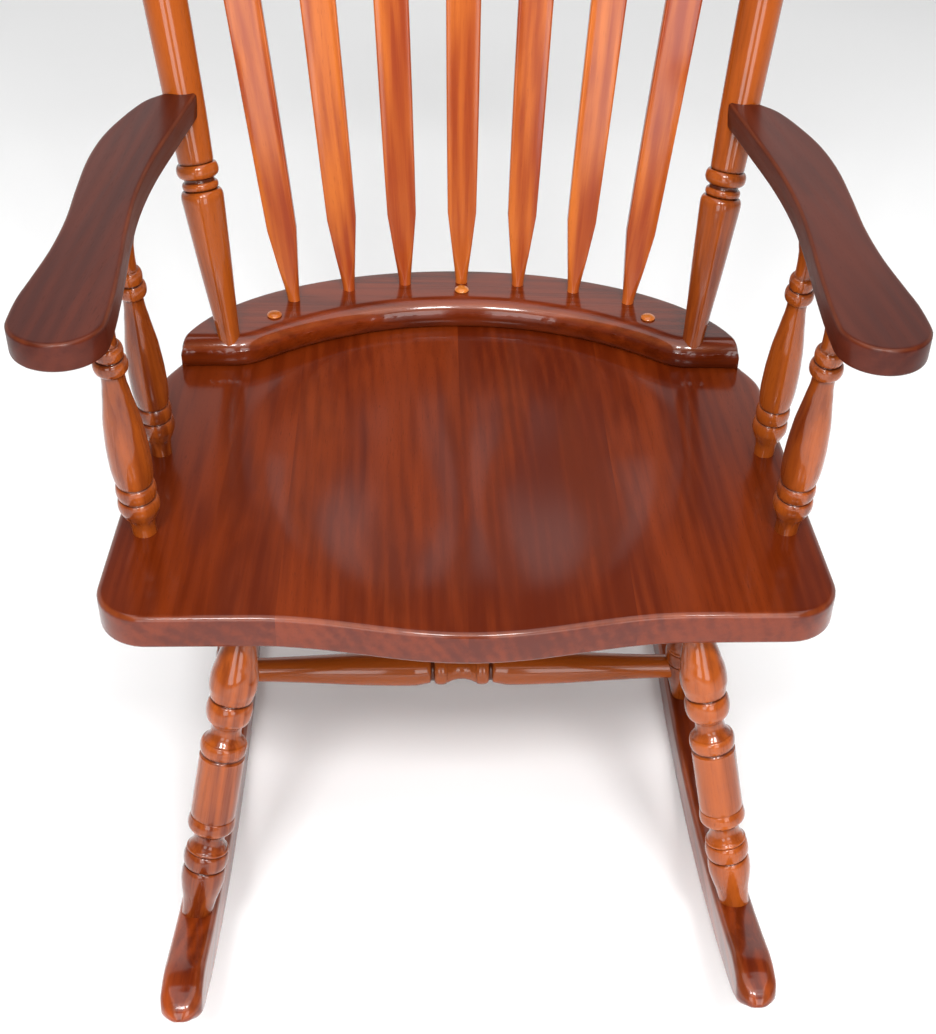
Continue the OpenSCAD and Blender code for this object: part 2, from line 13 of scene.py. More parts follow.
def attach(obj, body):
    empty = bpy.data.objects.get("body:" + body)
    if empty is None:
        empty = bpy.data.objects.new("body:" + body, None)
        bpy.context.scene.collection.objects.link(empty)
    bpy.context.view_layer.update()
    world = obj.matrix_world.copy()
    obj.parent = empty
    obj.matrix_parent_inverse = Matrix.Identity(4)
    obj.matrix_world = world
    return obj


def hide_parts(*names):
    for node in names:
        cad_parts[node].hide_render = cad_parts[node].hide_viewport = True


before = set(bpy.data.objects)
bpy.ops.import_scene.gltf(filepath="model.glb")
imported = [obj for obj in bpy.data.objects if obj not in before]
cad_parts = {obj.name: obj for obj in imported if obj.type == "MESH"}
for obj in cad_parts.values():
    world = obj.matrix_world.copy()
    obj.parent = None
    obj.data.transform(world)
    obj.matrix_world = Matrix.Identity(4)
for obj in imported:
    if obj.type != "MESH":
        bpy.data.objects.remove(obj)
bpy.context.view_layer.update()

bl_info = {
    "name": "Rocking chair",
    "version": (1, 0, 0),
    "blender": (4, 5, 0),
    "location": "View3D > Sidebar > Rocking chair",
    "description": "Builds the visible pieces of a wooden rocking chair on its packed frame",
    "category": "Add Mesh",
}

MM = 0.001
ALONG_X, ALONG_Y, ALONG_Z = np.eye(3)

# Millimetres.
WELD = 0.02
LEG_TENON = 16.0
CREST_TENON = 26.0

# How far a piece's grain is shifted from its neighbours' (metres), and how much its shade may drift.
GRAIN_SHIFT = (2, 8)
SHADE_DRIFT = 0.08


# ---------------------------------------------------------------- settings

def colour_of(code):
    """The linear colour of a paint chart code such as 7a2c16."""
    parts = [int(code[i : i + 2], 16) / 255 for i in (0, 2, 4)]
    return tuple(p / 12.92 if p <= 0.04045 else ((p + 0.055) / 1.055) ** 2.4 for p in parts)


def length(name, description, default):
    return FloatProperty(
        name=name, description=description, default=default, min=0, subtype="DISTANCE", unit="LENGTH"
    )


def colour(name, description, code):
    return FloatVectorProperty(
        name=name, description=description, default=colour_of(code), size=3, min=0, max=1,
        subtype="COLOR",
    )


def brightness(name, description, default):
    return FloatProperty(name=name, description=description, default=default, min=0)


def power(name, description, default):
    return FloatProperty(name=name, description=description, default=default, min=0, unit="POWER")


class ChairSizes(bpy.types.PropertyGroup):
    """Sizes of the rounding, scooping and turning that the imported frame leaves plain."""

    front_swell: length("Front swell", "How far the middle of the front edge stands forward", 0.021)
    swell_half: length("Swell half width", "From the middle to the straight of the front edge", 0.165)
    seat_corner: length("Seat corner", "Radius of the two front corners of the seat", 0.038)
    seat_taper: length("Seat taper", "How much each side of the seat draws in towards the back", 0.014)
    seat_edge: length("Seat edge", "Rounding of the seat's top edge", 0.0045)
    scoop_depth: length("Scoop depth", "Depth of the hollow worked into the seat", 0.009)
    scoop_half: length("Scoop half width", "From the middle of the seat to the hollow's side", 0.190)
    rail_root: length("Rail root", "How far before the rail its rear arc is centred", 0.023)
    rail_hollow: length("Rail hollow", "How far the rail's middle stands behind its ends", 0.071)
    rail_land: length("Rail land", "Straight length at each end of the back rail", 0.064)
    rail_roll: length("Rail roll", "Radius of the rolled front edge of the back rail", 0.0135)
    arm_edge: length("Arm edge", "Rounding of the arm's edges", 0.0026)
    rocker_radius: length("Rocker radius", "Radius that the rockers roll on", 1.120)
    crest_bow: length("Crest bow", "How far the ends of the crest rail come forward", 0.0695)
    crest_thickness: length("Crest thickness", "Thickness of the crest rail", 0.024)
    crest_drop: length("Crest drop", "How much lower the crest rail is at its ends", 0.032)
    spindle_edge: length("Spindle edge", "Rounding of the back spindles' long edges", 0.0018)


class ChairColours(bpy.types.PropertyGroup):
    """Stain colours, each a darker and a lighter shade that the grain moves between."""

    seat_dark: colour("Seat dark", "Darker shade of the seat", "4d1502")
    seat_light: colour("Seat light", "Lighter shade of the seat", "6a2607")
    rail_dark: colour("Rail dark", "Darker shade of the back rail and crest", "481402")
    rail_light: colour("Rail light", "Lighter shade of the back rail and crest", "6c2606")
    turned_dark: colour("Turned dark", "Darker shade of the turned pieces", "5a2008")
    turned_light: colour("Turned light", "Lighter shade of the turned pieces", "984814")
    spindle_dark: colour("Spindle dark", "Darker shade of the back spindles", "86300a")
    spindle_light: colour("Spindle light", "Lighter shade of the back spindles", "b8601e")
    arm_dark: colour("Arm dark", "Darker shade of the arms", "380f05")
    arm_light: colour("Arm light", "Lighter shade of the arms", "4d1c0e")
    rocker_dark: colour("Rocker dark", "Darker shade of the rockers", "521804")
    rocker_light: colour("Rocker light", "Lighter shade of the rockers", "8a360d")
    button_dark: colour("Button dark", "Darker shade of the buttons and plugs", "9a4f16")
    button_light: colour("Button light", "Lighter shade of the buttons and plugs", "c87a30")
    # Groove stain: stain gathered in the turned grooves, together with painted shade of the grooves.
    groove_stain_and_shade: colour("Groove stain", "Stain that gathers in the turned grooves", "2c0703")
    # Worn edge: lighter wood on crests and rounded edges, partly real wear and partly a painted
    # highlight.
    worn_edge_and_highlight: colour("Worn edge", "Wood showing through on rubbed edges", "c8703a")
    steel: colour("Steel", "Screws", "b9b9b6")


class StageSettings(bpy.types.PropertyGroup):
    """The floor, the surroundings and the lamps."""

    floor_colour: colour("Floor", "Floor colour", "fbfbfb")
    around: brightness("Surroundings", "Brightness of the surroundings behind the chair", 1.35)
    near: brightness("Near side", "Brightness of the surroundings in front of the chair", 0.25)
    ceiling: brightness("Ceiling", "Brightness of the surroundings overhead", 0.12)
    soft_box_power: power("Soft box power", "Power of each soft box", 34.0)
    front_power: power("Front power", "Power of the wide lamp above the front", 34.0)
    standing_power: power("Standing power", "Power of each broad standing lamp in front", 19.0)
    overhead_power: power("Overhead power", "Power of the wide lamp overhead", 74.0)


def sizes():
    """The sizes as plain numbers in millimetres."""
    group = bpy.context.scene.chair_sizes
    return {name: getattr(group, name) / MM for name in ChairSizes.__annotations__}


# ---------------------------------------------------------------- measuring the frame

def node_points(*names):
    """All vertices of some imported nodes, in millimetres."""
    return np.array([v.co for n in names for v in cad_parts[n].data.vertices]) / MM


def node_box(*names):
    """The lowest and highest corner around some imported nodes, in millimetres."""
    points = node_points(*names)
    return points.min(0), points.max(0)


def unit(v):
    return np.asarray(v, float) / np.linalg.norm(v)


def across(axis, hint=ALONG_X):
    """Two directions square to an axis, the first as near to the hint as it can be."""
    if abs(np.dot(hint, axis)) > 0.95:
        hint = ALONG_Y
    u = unit(hint - axis * np.dot(hint, axis))
    return u, np.cross(axis, u)


def middle_line(name):
    """The two ends of a long piece's centre line, lower or left end first."""
    points = node_points(name)
    centred = points - points.mean(0)
    axis = np.linalg.svd(centred, full_matrices=False)[2][0]
    for _ in range(5):
        u, v = across(axis, unit([0.3, 0.9, 0.1]))
        along = points @ axis
        ends = []
        for ring in (points[along < along.min() + 1], points[along > along.max() - 1]):
            side = [(ring @ d).min() / 2 + (ring @ d).max() / 2 for d in (u, v)]
            ends.append(u * side[0] + v * side[1] + axis * (ring @ axis).mean())
        axis = unit(ends[1] - ends[0])
    low, high = ends
    if high[2] - low[2] < -1 or (abs(high[2] - low[2]) < 1 and high[0] < low[0]):
        low, high = high, low
    return low, high


def at_height(low, high, z):
    """Where a leaning line passes a height."""
    return low + (high - low) * (z - low[2]) / (high[2] - low[2])


# ---------------------------------------------------------------- curves

def steps(a, b, longest):
    """Even stops from a to b, no further apart than longest."""
    return np.linspace(a, b, max(2, int(math.ceil(abs(b - a) / longest)) + 1))


def ease(t):
    t = np.clip(t, 0, 1)
    return t * t * (3 - 2 * t)


def mix(a, b, t):
    return a + (b - a) * t


def handle(kind, run, rise, slope):
    """How a turned line leaves a mark: f flat, v straight off the axis, c at a corner, s smoothly."""
    return np.array({
        "f": (0.55 * run, 0),
        "v": (0, 0.55 * rise),
        "c": (run / 3, rise / 3),
        "s": (run / 3, slope * run / 3),
    }[kind])


def turned_line(marks, longest=0.9):
    """A fine line of (distance, radius) through marks of (distance, radius, kinds before and after)."""
    z = np.array([m[0] for m in marks], float)
    r = np.array([m[1] for m in marks], float)
    grade = np.diff(r) / np.diff(z)
    slope = np.zeros(len(marks))
    for i in range(1, len(marks) - 1):
        if grade[i - 1] * grade[i] > 0:
            slope[i] = 2 / (1 / grade[i - 1] + 1 / grade[i])
    slope[0], slope[-1] = grade[0], grade[-1]
    line = [(z[0], r[0])]
    for i, (here, there) in enumerate(zip(marks, marks[1:])):
        run, rise = z[i + 1] - z[i], r[i + 1] - r[i]
        start, end = np.array((z[i], r[i])), np.array((z[i + 1], r[i + 1]))
        leave = start + handle(here[2][-1], run, rise, slope[i])
        arrive = end - handle(there[2][0], run, rise, slope[i + 1])
        count = int(np.clip(math.ceil(math.hypot(run, rise) / longest), 3, 12))
        for k in range(1, count + 1):
            t = k / count
            weights = ((1 - t) ** 3, 3 * t * (1 - t) ** 2, 3 * t * t * (1 - t), t ** 3)
            line.append(weights @ np.array([start, leave, arrive, end]))
    return np.array(line)


def flowing_line(points, longest=4.0):
    """A smooth line through points, even along its length."""
    p = np.array(points, float)
    p = np.vstack([2 * p[0] - p[1], p, 2 * p[-1] - p[-2]])
    line = [p[1]]
    for i in range(1, len(p) - 2):
        t = np.linspace(0, 1, 13)[1:, None]
        line.extend(0.5 * (
            2 * p[i]
            + (p[i + 1] - p[i - 1]) * t
            + (2 * p[i - 1] - 5 * p[i] + 4 * p[i + 1] - p[i + 2]) * t ** 2
            + (3 * p[i] - p[i - 1] - 3 * p[i + 1] + p[i + 2]) * t ** 3
        ))
    return Line(line).even(longest)


class Line:
    """A flat line that gives a point and the direction to its right at any distance along it."""

    def __init__(self, points):
        self.points = np.array(points, float)
        gaps = np.linalg.norm(np.diff(self.points, axis=0), axis=1)
        keep = np.concatenate([[True], gaps > 1e-6])
        self.points = self.points[keep]
        self.far = np.concatenate([[0], np.cumsum(gaps[gaps > 1e-6])])
        tangent = np.gradient(self.points, self.far, axis=0)
        tangent /= np.linalg.norm(tangent, axis=1)[:, None]
        self.right = np.stack([tangent[:, 1], -tangent[:, 0]], axis=1)

    def at(self, s, inset=0.0):
        """Points at distances s, moved to the line's left by the inset."""
        s = np.asarray(s, float)
        point = np.stack([np.interp(s, self.far, self.points[:, k]) for k in (0, 1)], axis=-1)
        right = np.stack([np.interp(s, self.far, self.right[:, k]) for k in (0, 1)], axis=-1)
        return point - inset * right / np.linalg.norm(right, axis=-1)[..., None]

    def even(self, longest):
        """Points spaced evenly along the line."""
        return self.at(steps(0, self.far[-1], longest))

    def softened(self, reach):
        """The same line with its kinks eased over a distance."""
        s = steps(0, self.far[-1], 1.0)
        p = self.at(s)
        count = int(reach)
        weights = np.hanning(2 * count + 3)[1:-1]
        weights /= weights.sum()
        before = 2 * p[0] - p[count:0:-1]
        after = 2 * p[-1] - p[-2 : -count - 2 : -1]
        padded = np.vstack([before, p, after])
        return Line(np.stack([np.convolve(padded[:, k], weights, "valid") for k in (0, 1)], axis=1))


# ---------------------------------------------------------------- skins

class Skin:
    """Collects patches of surface in millimetres and welds them into one piece."""

    def __init__(self):
        self.points, self.relief, self.faces, self.count = [], [], [], 0

    def _take(self, points, relief):
        points = np.asarray(points, float).reshape(-1, 3)
        self.points.append(points)
        self.relief.append(np.broadcast_to(np.asarray(relief, float).ravel(), (len(points),)))
        start = self.count
        self.count += len(points)
        return start

    def patch(self, rows, relief=0.0):
        """Quads between neighbouring rows of points; relief is one value, or one for each point."""
        rows = np.asarray(rows, float)
        high, wide = rows.shape[:2]
        relief = np.asarray(relief, float)
        if relief.ndim == 1:
            relief = np.repeat(relief, wide)
        start = self._take(rows, relief)
        for i in range(high - 1):
            for j in range(wide - 1):
                a = start + i * wide + j
                self.faces.append((a, a + 1, a + wide + 1, a + wide))

    def lid(self, points, relief=0.0):
        """One face through its corners."""
        start = self._take(points, relief)
        self.faces.append(tuple(range(start, self.count)))

    def turn(self, line, foot, axis, around=64):
        """A turned solid: (distance, radius) along an axis from its foot."""
        u, v = across(axis)
        angle = np.linspace(0, 2 * math.pi, around + 1)
        ring = np.cos(angle)[:, None] * u + np.sin(angle)[:, None] * v
        rows = foot + line[:, 0, None, None] * axis + line[:, 1, None, None] * ring
        fine = np.arange(line[0, 0], line[-1, 0], 0.5)
        radius = np.interp(fine, line[:, 0], line[:, 1])
        soft = np.hanning(33)
        soft /= soft.sum()
        smooth = np.convolve(np.pad(radius, 16, mode="edge"), soft, "valid")
        relief = np.clip((line[:, 1] - np.interp(line[:, 0], fine, smooth)) / 1.5, -1, 1)
        relief *= np.clip(line[:, 1] / 7, 0, 1)
        self.patch(rows, relief)
        for row in (rows[0], rows[-1]):
            self.lid(row[:-1])

    def bar(self, rows, relief=0.0):
        """A closed solid through sections that each end where they begin."""
        self.patch(rows, relief)
        self.lid(rows[0][:-1])
        self.lid(rows[-1][:-1])


def make_piece(node, skin, kind, grain, origin, tone=0.0, sharp=38):
    """Welds a skin into a wooden piece with its own grain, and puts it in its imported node's place."""
    name = f"{node}_wood"
    points = np.concatenate(skin.points)
    relief = np.concatenate(skin.relief)
    _, first, place = np.unique(
        np.round(points / WELD).astype(np.int64), axis=0, return_index=True, return_inverse=True
    )
    place = place.ravel()
    points, relief = points[first], relief[first]
    faces = []
    for face in skin.faces:
        corners = [int(place[i]) for i in face]
        corners = [c for c, before in zip(corners, corners[-1:] + corners[:-1]) if c != before]
        if len(set(corners)) > 2 and len(set(corners)) == len(corners):
            faces.append(corners)
    mesh = bpy.data.meshes.new(name)
    mesh.from_pydata((points * MM).tolist(), [], faces)
    work = bmesh.new()
    work.from_mesh(mesh)
    bmesh.ops.recalc_face_normals(work, faces=work.faces)
    work.to_mesh(mesh)
    work.free()
    mesh.shade_smooth()
    mesh.set_sharp_from_angle(angle=math.radians(sharp))
    shift = random.Random(name)
    local = (points - origin) @ np.array(grain).T * MM
    local += [shift.uniform(*GRAIN_SHIFT) for _ in range(3)]
    mesh.attributes.new("grain", "FLOAT_VECTOR", "POINT").data.foreach_set("vector", local.ravel())
    mesh.attributes.new("relief", "FLOAT", "POINT").data.foreach_set("value", relief)
    level = np.full(len(points), tone + shift.uniform(-SHADE_DRIFT, SHADE_DRIFT))
    mesh.attributes.new("tone", "FLOAT", "POINT").data.foreach_set("value", level)
    mesh.materials.append(wood_for(kind))
    piece = bpy.data.objects.new(name, mesh)
    bpy.context.scene.collection.objects.link(piece)
    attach(piece, "root")
    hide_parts(node)


def turned_piece(node, marks, foot, axis, heart, tone=0.0):
    """Turns one piece from a turner's marks; heart is where its growth rings are centred."""
    skin = Skin()
    skin.turn(turned_line(marks), foot, axis)
    make_piece(node, skin, "turned", [*across(axis), axis], foot + heart, tone)


# ---------------------------------------------------------------- finishes

class Value:
    """A node's output that takes part in Python expressions; each operator adds its Math node."""

    def __init__(self, recipe, socket):
        self.recipe, self.socket = recipe, socket

    def _math(self, operation, first, second):
        return self.recipe.node("ShaderNodeMath", {"operation": operation}, {0: first, 1: second})

    def __add__(self, other):
        return self._math("ADD", self, other)

    def __radd__(self, other):
        return self._math("ADD", other, self)

    def __sub__(self, other):
        return self._math("SUBTRACT", self, other)

    def __rsub__(self, other):
        return self._math("SUBTRACT", other, self)

    def __mul__(self, other):
        return self._math("MULTIPLY", self, other)

    def __rmul__(self, other):
        return self._math("MULTIPLY", other, self)

    def __pow__(self, other):
        return self._math("POWER", self, other)


class Recipe:
    """One material's nodes."""

    def __init__(self, name):
        self.material = bpy.data.materials.new(name)
        self.material.use_nodes = True
        self.tree = self.material.node_tree
        self.tree.nodes.clear()

    @classmethod
    def of_tree(cls, tree):
        """The same tools on a tree that isn't a material's."""
        recipe = cls.__new__(cls)
        recipe.material, recipe.tree = None, tree
        return recipe

    def node(self, kind, settings=None, inputs=None, output=0):
        """Adds one node: its settings first, then values or links for its sockets."""
        node = self.tree.nodes.new(kind)
        for key, value in (settings or {}).items():
            setattr(node, key, value)
        for key, value in (inputs or {}).items():
            if isinstance(value, Value):
                self.tree.links.new(value.socket, node.inputs[key])
            else:
                node.inputs[key].default_value = value
        return Value(self, node.outputs[output]) if len(node.outputs) else node

    def attribute(self, name, output="Fac"):
        return self.node("ShaderNodeAttribute", {"attribute_name": name}, output=output)

    def stretched(self, vector, x, y, z):
        return self.node("ShaderNodeVectorMath", {"operation": "MULTIPLY"}, {0: vector, 1: (x, y, z)})

    def noise(self, vector, detail=2.0, rough=0.5, distortion=0.0):
        return self.node(
            "ShaderNodeTexNoise",
            inputs={"Vector": vector, "Scale": 1.0, "Detail": detail, "Roughness": rough,
                    "Distortion": distortion},
            output="Fac",
        )

    def between(self, value, low, high):
        """0 below low, 1 above high and smooth between them."""
        return self.node(
            "ShaderNodeMapRange",
            {"interpolation_type": "SMOOTHSTEP"},
            {"Value": value, "From Min": low, "From Max": high},
        )

    def blend(self, factor, a, b):
        """Two colours mixed by a factor."""
        return self.node(
            "ShaderNodeMix", {"data_type": "RGBA"}, {0: factor, 6: whole(a), 7: whole(b)}, output=2
        )

    def finish(self, surface):
        self.node("ShaderNodeOutputMaterial", inputs={"Surface": surface})
        return self.material


def whole(value):
    """A colour as a socket takes it."""
    return value if isinstance(value, Value) else (*value[:3], 1.0)


def shaded(colour_value, share):
    """A colour with only a share of its brightness."""
    return tuple(c * share for c in colour_value)


def lacquered_wood(name, dark, light, gloss, coat, coat_rough, pores=0.4, stain=0.75, edge_wear_and_highlight=0.3):
    """Stained, lacquered wood: patches, streaks, growth rings, pores, grooves with stain and painted
    shade, and worn edges with a painted highlight.
    """
    if name in bpy.data.materials:
        return bpy.data.materials[name]
    colours = bpy.context.scene.chair_colours
    r = Recipe(name)
    grain = r.attribute("grain", "Vector")
    relief = r.attribute("relief")
    tone = r.attribute("tone")
    patches = r.between(r.noise(r.stretched(grain, 16, 16, 3.2), 3, 0.55, 0.4), 0.34, 0.66)
    streaks = r.between(r.noise(r.stretched(grain, 150, 150, 6), 4, 0.6, 0.2), 0.36, 0.64)
    wander = r.noise(r.stretched(grain, 14, 14, 2.0), 2, 0.5, 0.0)
    parts = r.node("ShaderNodeSeparateXYZ", inputs={0: grain})
    x, y, z = (Value(r, parts.socket.node.outputs[k]) for k in range(3))
    pith = ((x + 0.035 * z) ** 2 + (y * 0.8 + 0.02 * z) ** 2) ** 0.5
    rings = r.node("ShaderNodeMath", {"operation": "SINE"}, {0: pith * 620 + wander * 16}) * 0.5 + 0.5
    flecks = r.between(r.noise(r.stretched(grain, 1500, 1500, 95), 2, 0.5, 0.0), 0.60, 0.72)
    shade = patches * 0.56 + streaks * 0.24 + rings * 0.2 + tone
    body = r.blend(r.between(shade, 0.02, 0.98), dark, light)
    body = r.blend(flecks * (0.35 + patches * 0.65) * pores, body, shaded(dark, 0.35))
    # Grooves darkened towards the groove stain colour: stain that gathers there, and painted shade in
    # the recess.
    groove_stain_and_shade_mask = r.between(relief, 0.0, -1.0)
    crown = r.between(relief, 0.1, 1.0)
    body = r.blend(groove_stain_and_shade_mask * stain, body, colours.groove_stain_and_shade)
    # Crests and rounded edges lightened towards the worn edge colour: rubbed wear together with a
    # painted highlight.
    edge_patchiness = r.between(r.noise(r.stretched(grain, 60, 60, 30), 3, 0.6, 0.0), 0.3, 0.7)
    body = r.blend(crown * (0.35 + edge_patchiness * 0.65) * edge_wear_and_highlight, body, colours.worn_edge_and_highlight)
    rough = gloss + streaks * 0.07 - crown * 0.05 + flecks * 0.08
    height = streaks * 0.5 - flecks * 0.6 + rings * 0.2
    normal = r.node(
        "ShaderNodeBump", inputs={"Strength": 0.1, "Distance": 0.0003, "Height": height}
    )
    surface = r.node(
        "ShaderNodeBsdfPrincipled",
        inputs={
            "Base Color": body,
            "Roughness": rough,
            "Normal": normal,
            "Coat Weight": coat,
            "Coat Roughness": coat_rough,
            "Coat IOR": 1.5,
            "Specular IOR Level": 0.07,
        },
    )
    return r.finish(surface)


# Each kind of piece: material, stain, gloss, coat, roughness of the coat, and what else differs.
FINISHES = {
    "seat": ("Seat wood", "seat", 0.34, 0.6, 0.13, {"edge_wear_and_highlight": 0.12}),
    "rail": ("Rail wood", "rail", 0.26, 0.7, 0.10, {"edge_wear_and_highlight": 0.2}),
    "crest": ("Crest wood", "rail", 0.30, 0.6, 0.12, {"edge_wear_and_highlight": 0.2}),
    "turned": ("Turned wood", "turned", 0.26, 0.7, 0.09, {"pores": 0.3, "stain": 0.85}),
    "spindle": ("Spindle wood", "spindle", 0.30, 0.6, 0.14, {"pores": 0.3}),
    "arm": ("Arm wood", "arm", 0.4, 0.25, 0.2, {"edge_wear_and_highlight": 0.07}),
    "rocker": ("Rocker wood", "rocker", 0.30, 0.6, 0.12, {}),
    "button": ("Button wood", "button", 0.28, 0.7, 0.10, {"stain": 0.9}),
}


def wood_for(kind):
    """The lacquered wood of one kind of piece."""
    name, stain, gloss, coat, coat_rough, traits = FINISHES[kind]
    colours = bpy.context.scene.chair_colours
    dark, light = (getattr(colours, f"{stain}_{shade}") for shade in ("dark", "light"))
    return lacquered_wood(name, dark, light, gloss, coat, coat_rough, **traits)


def screw_steel():
    """Zinc-plated steel with fine turning marks."""
    r = Recipe("Screw steel")
    place = r.node("ShaderNodeTexCoord", output="Object")
    marks = r.between(r.noise(r.stretched(place, 900, 900, 2600), 2), 0.3, 0.7)
    tarnish = r.between(r.noise(r.stretched(place, 220, 220, 220), 3), 0.4, 0.7)
    base = bpy.context.scene.chair_colours.steel
    surface = r.node(
        "ShaderNodeBsdfPrincipled",
        inputs={
            "Base Color": r.blend(tarnish * 0.5, base, shaded(base, 0.5)),
            "Metallic": 1.0,
            "Roughness": 0.25 + marks * 0.2,
            "Normal": r.node(
                "ShaderNodeBump", inputs={"Strength": 0.2, "Distance": 0.0001, "Height": marks}
            ),
        },
    )
    return r.finish(surface)


# ---------------------------------------------------------------- seat

def rail_hollow(s, half, x):
    """How far the front line of a back rail of this half width stands behind its ends."""
    chord = half - s["rail_land"]
    radius = (chord ** 2 + s["rail_hollow"] ** 2) / (2 * s["rail_hollow"])
    return np.sqrt(radius ** 2 - np.minimum(np.abs(x), chord) ** 2) - (radius - s["rail_hollow"])


class SeatPlan:
    """The seat seen from above: its outline, and rows and columns that follow it."""

    reach = 150.0  # the columns run straight back within this distance of the middle
    ledge = 4.0  # how far the seat's rear arc stands outside the rail's
    arc_before, arc_over = 28.0, 40.0  # the sides start to bend this far before the rail, over this
    scoop_back, scoop_front = 238.0, 205.0  # the deepest place, from the front tip, and its reach
    scoop_flat = 46.0  # half width of the flat bottom of the hollow
    ridge_half, ridge_share = 34.0, 0.3  # the low ridge between the sitter's legs

    def __init__(self):
        s = self.sizes = sizes()
        low, high = node_box("seat_board_1", "seat_board_2", "seat_board_3", "seat_board_4")
        rail_low, rail_high = node_box("back_rail")
        self.top, self.under, self.front, self.half = high[2], low[2], low[1], high[0]
        self.rail_y = rail_low[1]
        self.rear_a = high[1] - self.rail_y + s["rail_root"]
        self.rear_b = rail_high[0] + self.ledge
        corner_y = self.front + s["front_swell"] + s["seat_corner"]
        deep = self.rail_y - corner_y

        def front(x):
            share = np.clip(x / s["swell_half"], 0, 1)
            return self.front + s["front_swell"] * (1 - np.cos(np.pi * share)) / 2

        def side(y):
            straight = self.half - s["seat_taper"] * (y - corner_y) / deep
            up = np.clip((y - self.rail_y + s["rail_root"]) / self.rear_a, 0, 1)
            arc = self.rear_b * np.sqrt(1 - up ** 2)
            return mix(straight, arc, ease((y - self.rail_y + self.arc_before) / self.arc_over))

        x = steps(0, self.half - s["seat_corner"], 2)
        turn = np.radians(np.arange(-87, 1, 3))
        y = steps(corner_y, self.rail_y + 12, 3)[1:]
        lean = np.arcsin((y[-1] - self.rail_y + s["rail_root"]) / self.rear_a)
        arc = np.linspace(lean, np.pi / 2, 90)[1:]
        outline = np.concatenate([
            np.stack([x, front(x)], 1),
            np.stack([self.half - s["seat_corner"] * (1 - np.cos(turn)),
                      corner_y + s["seat_corner"] * np.sin(turn)], 1),
            np.stack([side(y), y], 1),
            np.stack([self.rear_b * np.cos(arc),
                      self.rail_y - s["rail_root"] + self.rear_a * np.sin(arc)], 1),
        ])
        self.line = Line(outline)
        far, points = self.line.far, self.line.points
        front_part = slice(0, len(x))
        rear_part = slice(len(points) - len(arc), len(points))
        self.s_front = lambda v: np.interp(np.abs(v), points[front_part, 0], far[front_part])
        self.s_rear = lambda v: np.interp(np.abs(v), points[rear_part, 0][::-1], far[rear_part][::-1])
        self.s_corner = far[len(x) + len(turn) // 2]
        self.s_back = self.s_rear(self.rear_b * 0.85)
        self.rows = np.linspace(0, 1, 76)

    def columns(self, left, right):
        """One board's columns: (side, front distance, rear distance, share of the side's shape)."""

        def flank(side, share):
            return (side, mix(self.s_front(self.reach), self.s_corner, share),
                    mix(self.s_rear(self.reach), self.s_back, share), share)

        shares = np.linspace(0, 1, 22)[1:]
        out = [flank(-1, a) for a in shares[::-1]] if left is None else []
        start = -self.reach if left is None else left
        end = self.reach if right is None else right
        for x in steps(start, end, 6):
            out.append((-1 if x < 0 else 1, float(self.s_front(x)), float(self.s_rear(x)), 0.0))
        if right is None:
            out += [flank(1, a) for a in shares]
        return np.array(out)

    def grid(self, columns, inset):
        """Points of a board's flat side, rows from front to back, drawn in from the outline."""
        b = self.rows[:, None, None]
        front = self.line.at(columns[:, 1], inset)
        rear = self.line.at(columns[:, 2], inset)
        side = self.line.at(mix(self.s_corner, self.s_back, self.rows), inset)
        plain = mix(side[0], side[-1], self.rows[:, None])
        points = mix(front[None], rear[None], b) + columns[None, :, 3, None] * (side - plain)[:, None]
        return points * np.stack([columns[:, 0], np.ones(len(columns))], 1)[None]

    def scoop(self, x, y):
        """How deep the seat is worked away at a place."""
        s = self.sizes
        rail = self.rail_y + rail_hollow(s, self.rear_b - self.ledge, x)
        deepest = self.front + self.scoop_back
        behind = np.clip((y - deepest) / (rail - 6 - deepest), 0, None)
        before = np.clip((deepest - y) / self.scoop_front, 0, None)
        aside = (np.abs(x) - self.scoop_flat) / (s["scoop_half"] - self.scoop_flat)
        near = 1 - (behind ** 3.2 + before ** 1.5 + np.clip(aside, 0, None) ** 2.0)
        ridge = self.ridge_share * np.exp(-((x / self.ridge_half) ** 2))
        ridge = ridge * ease((deepest + 60 - y) / 140)
        return s["scoop_depth"] * ease(near) * (1 - ridge)


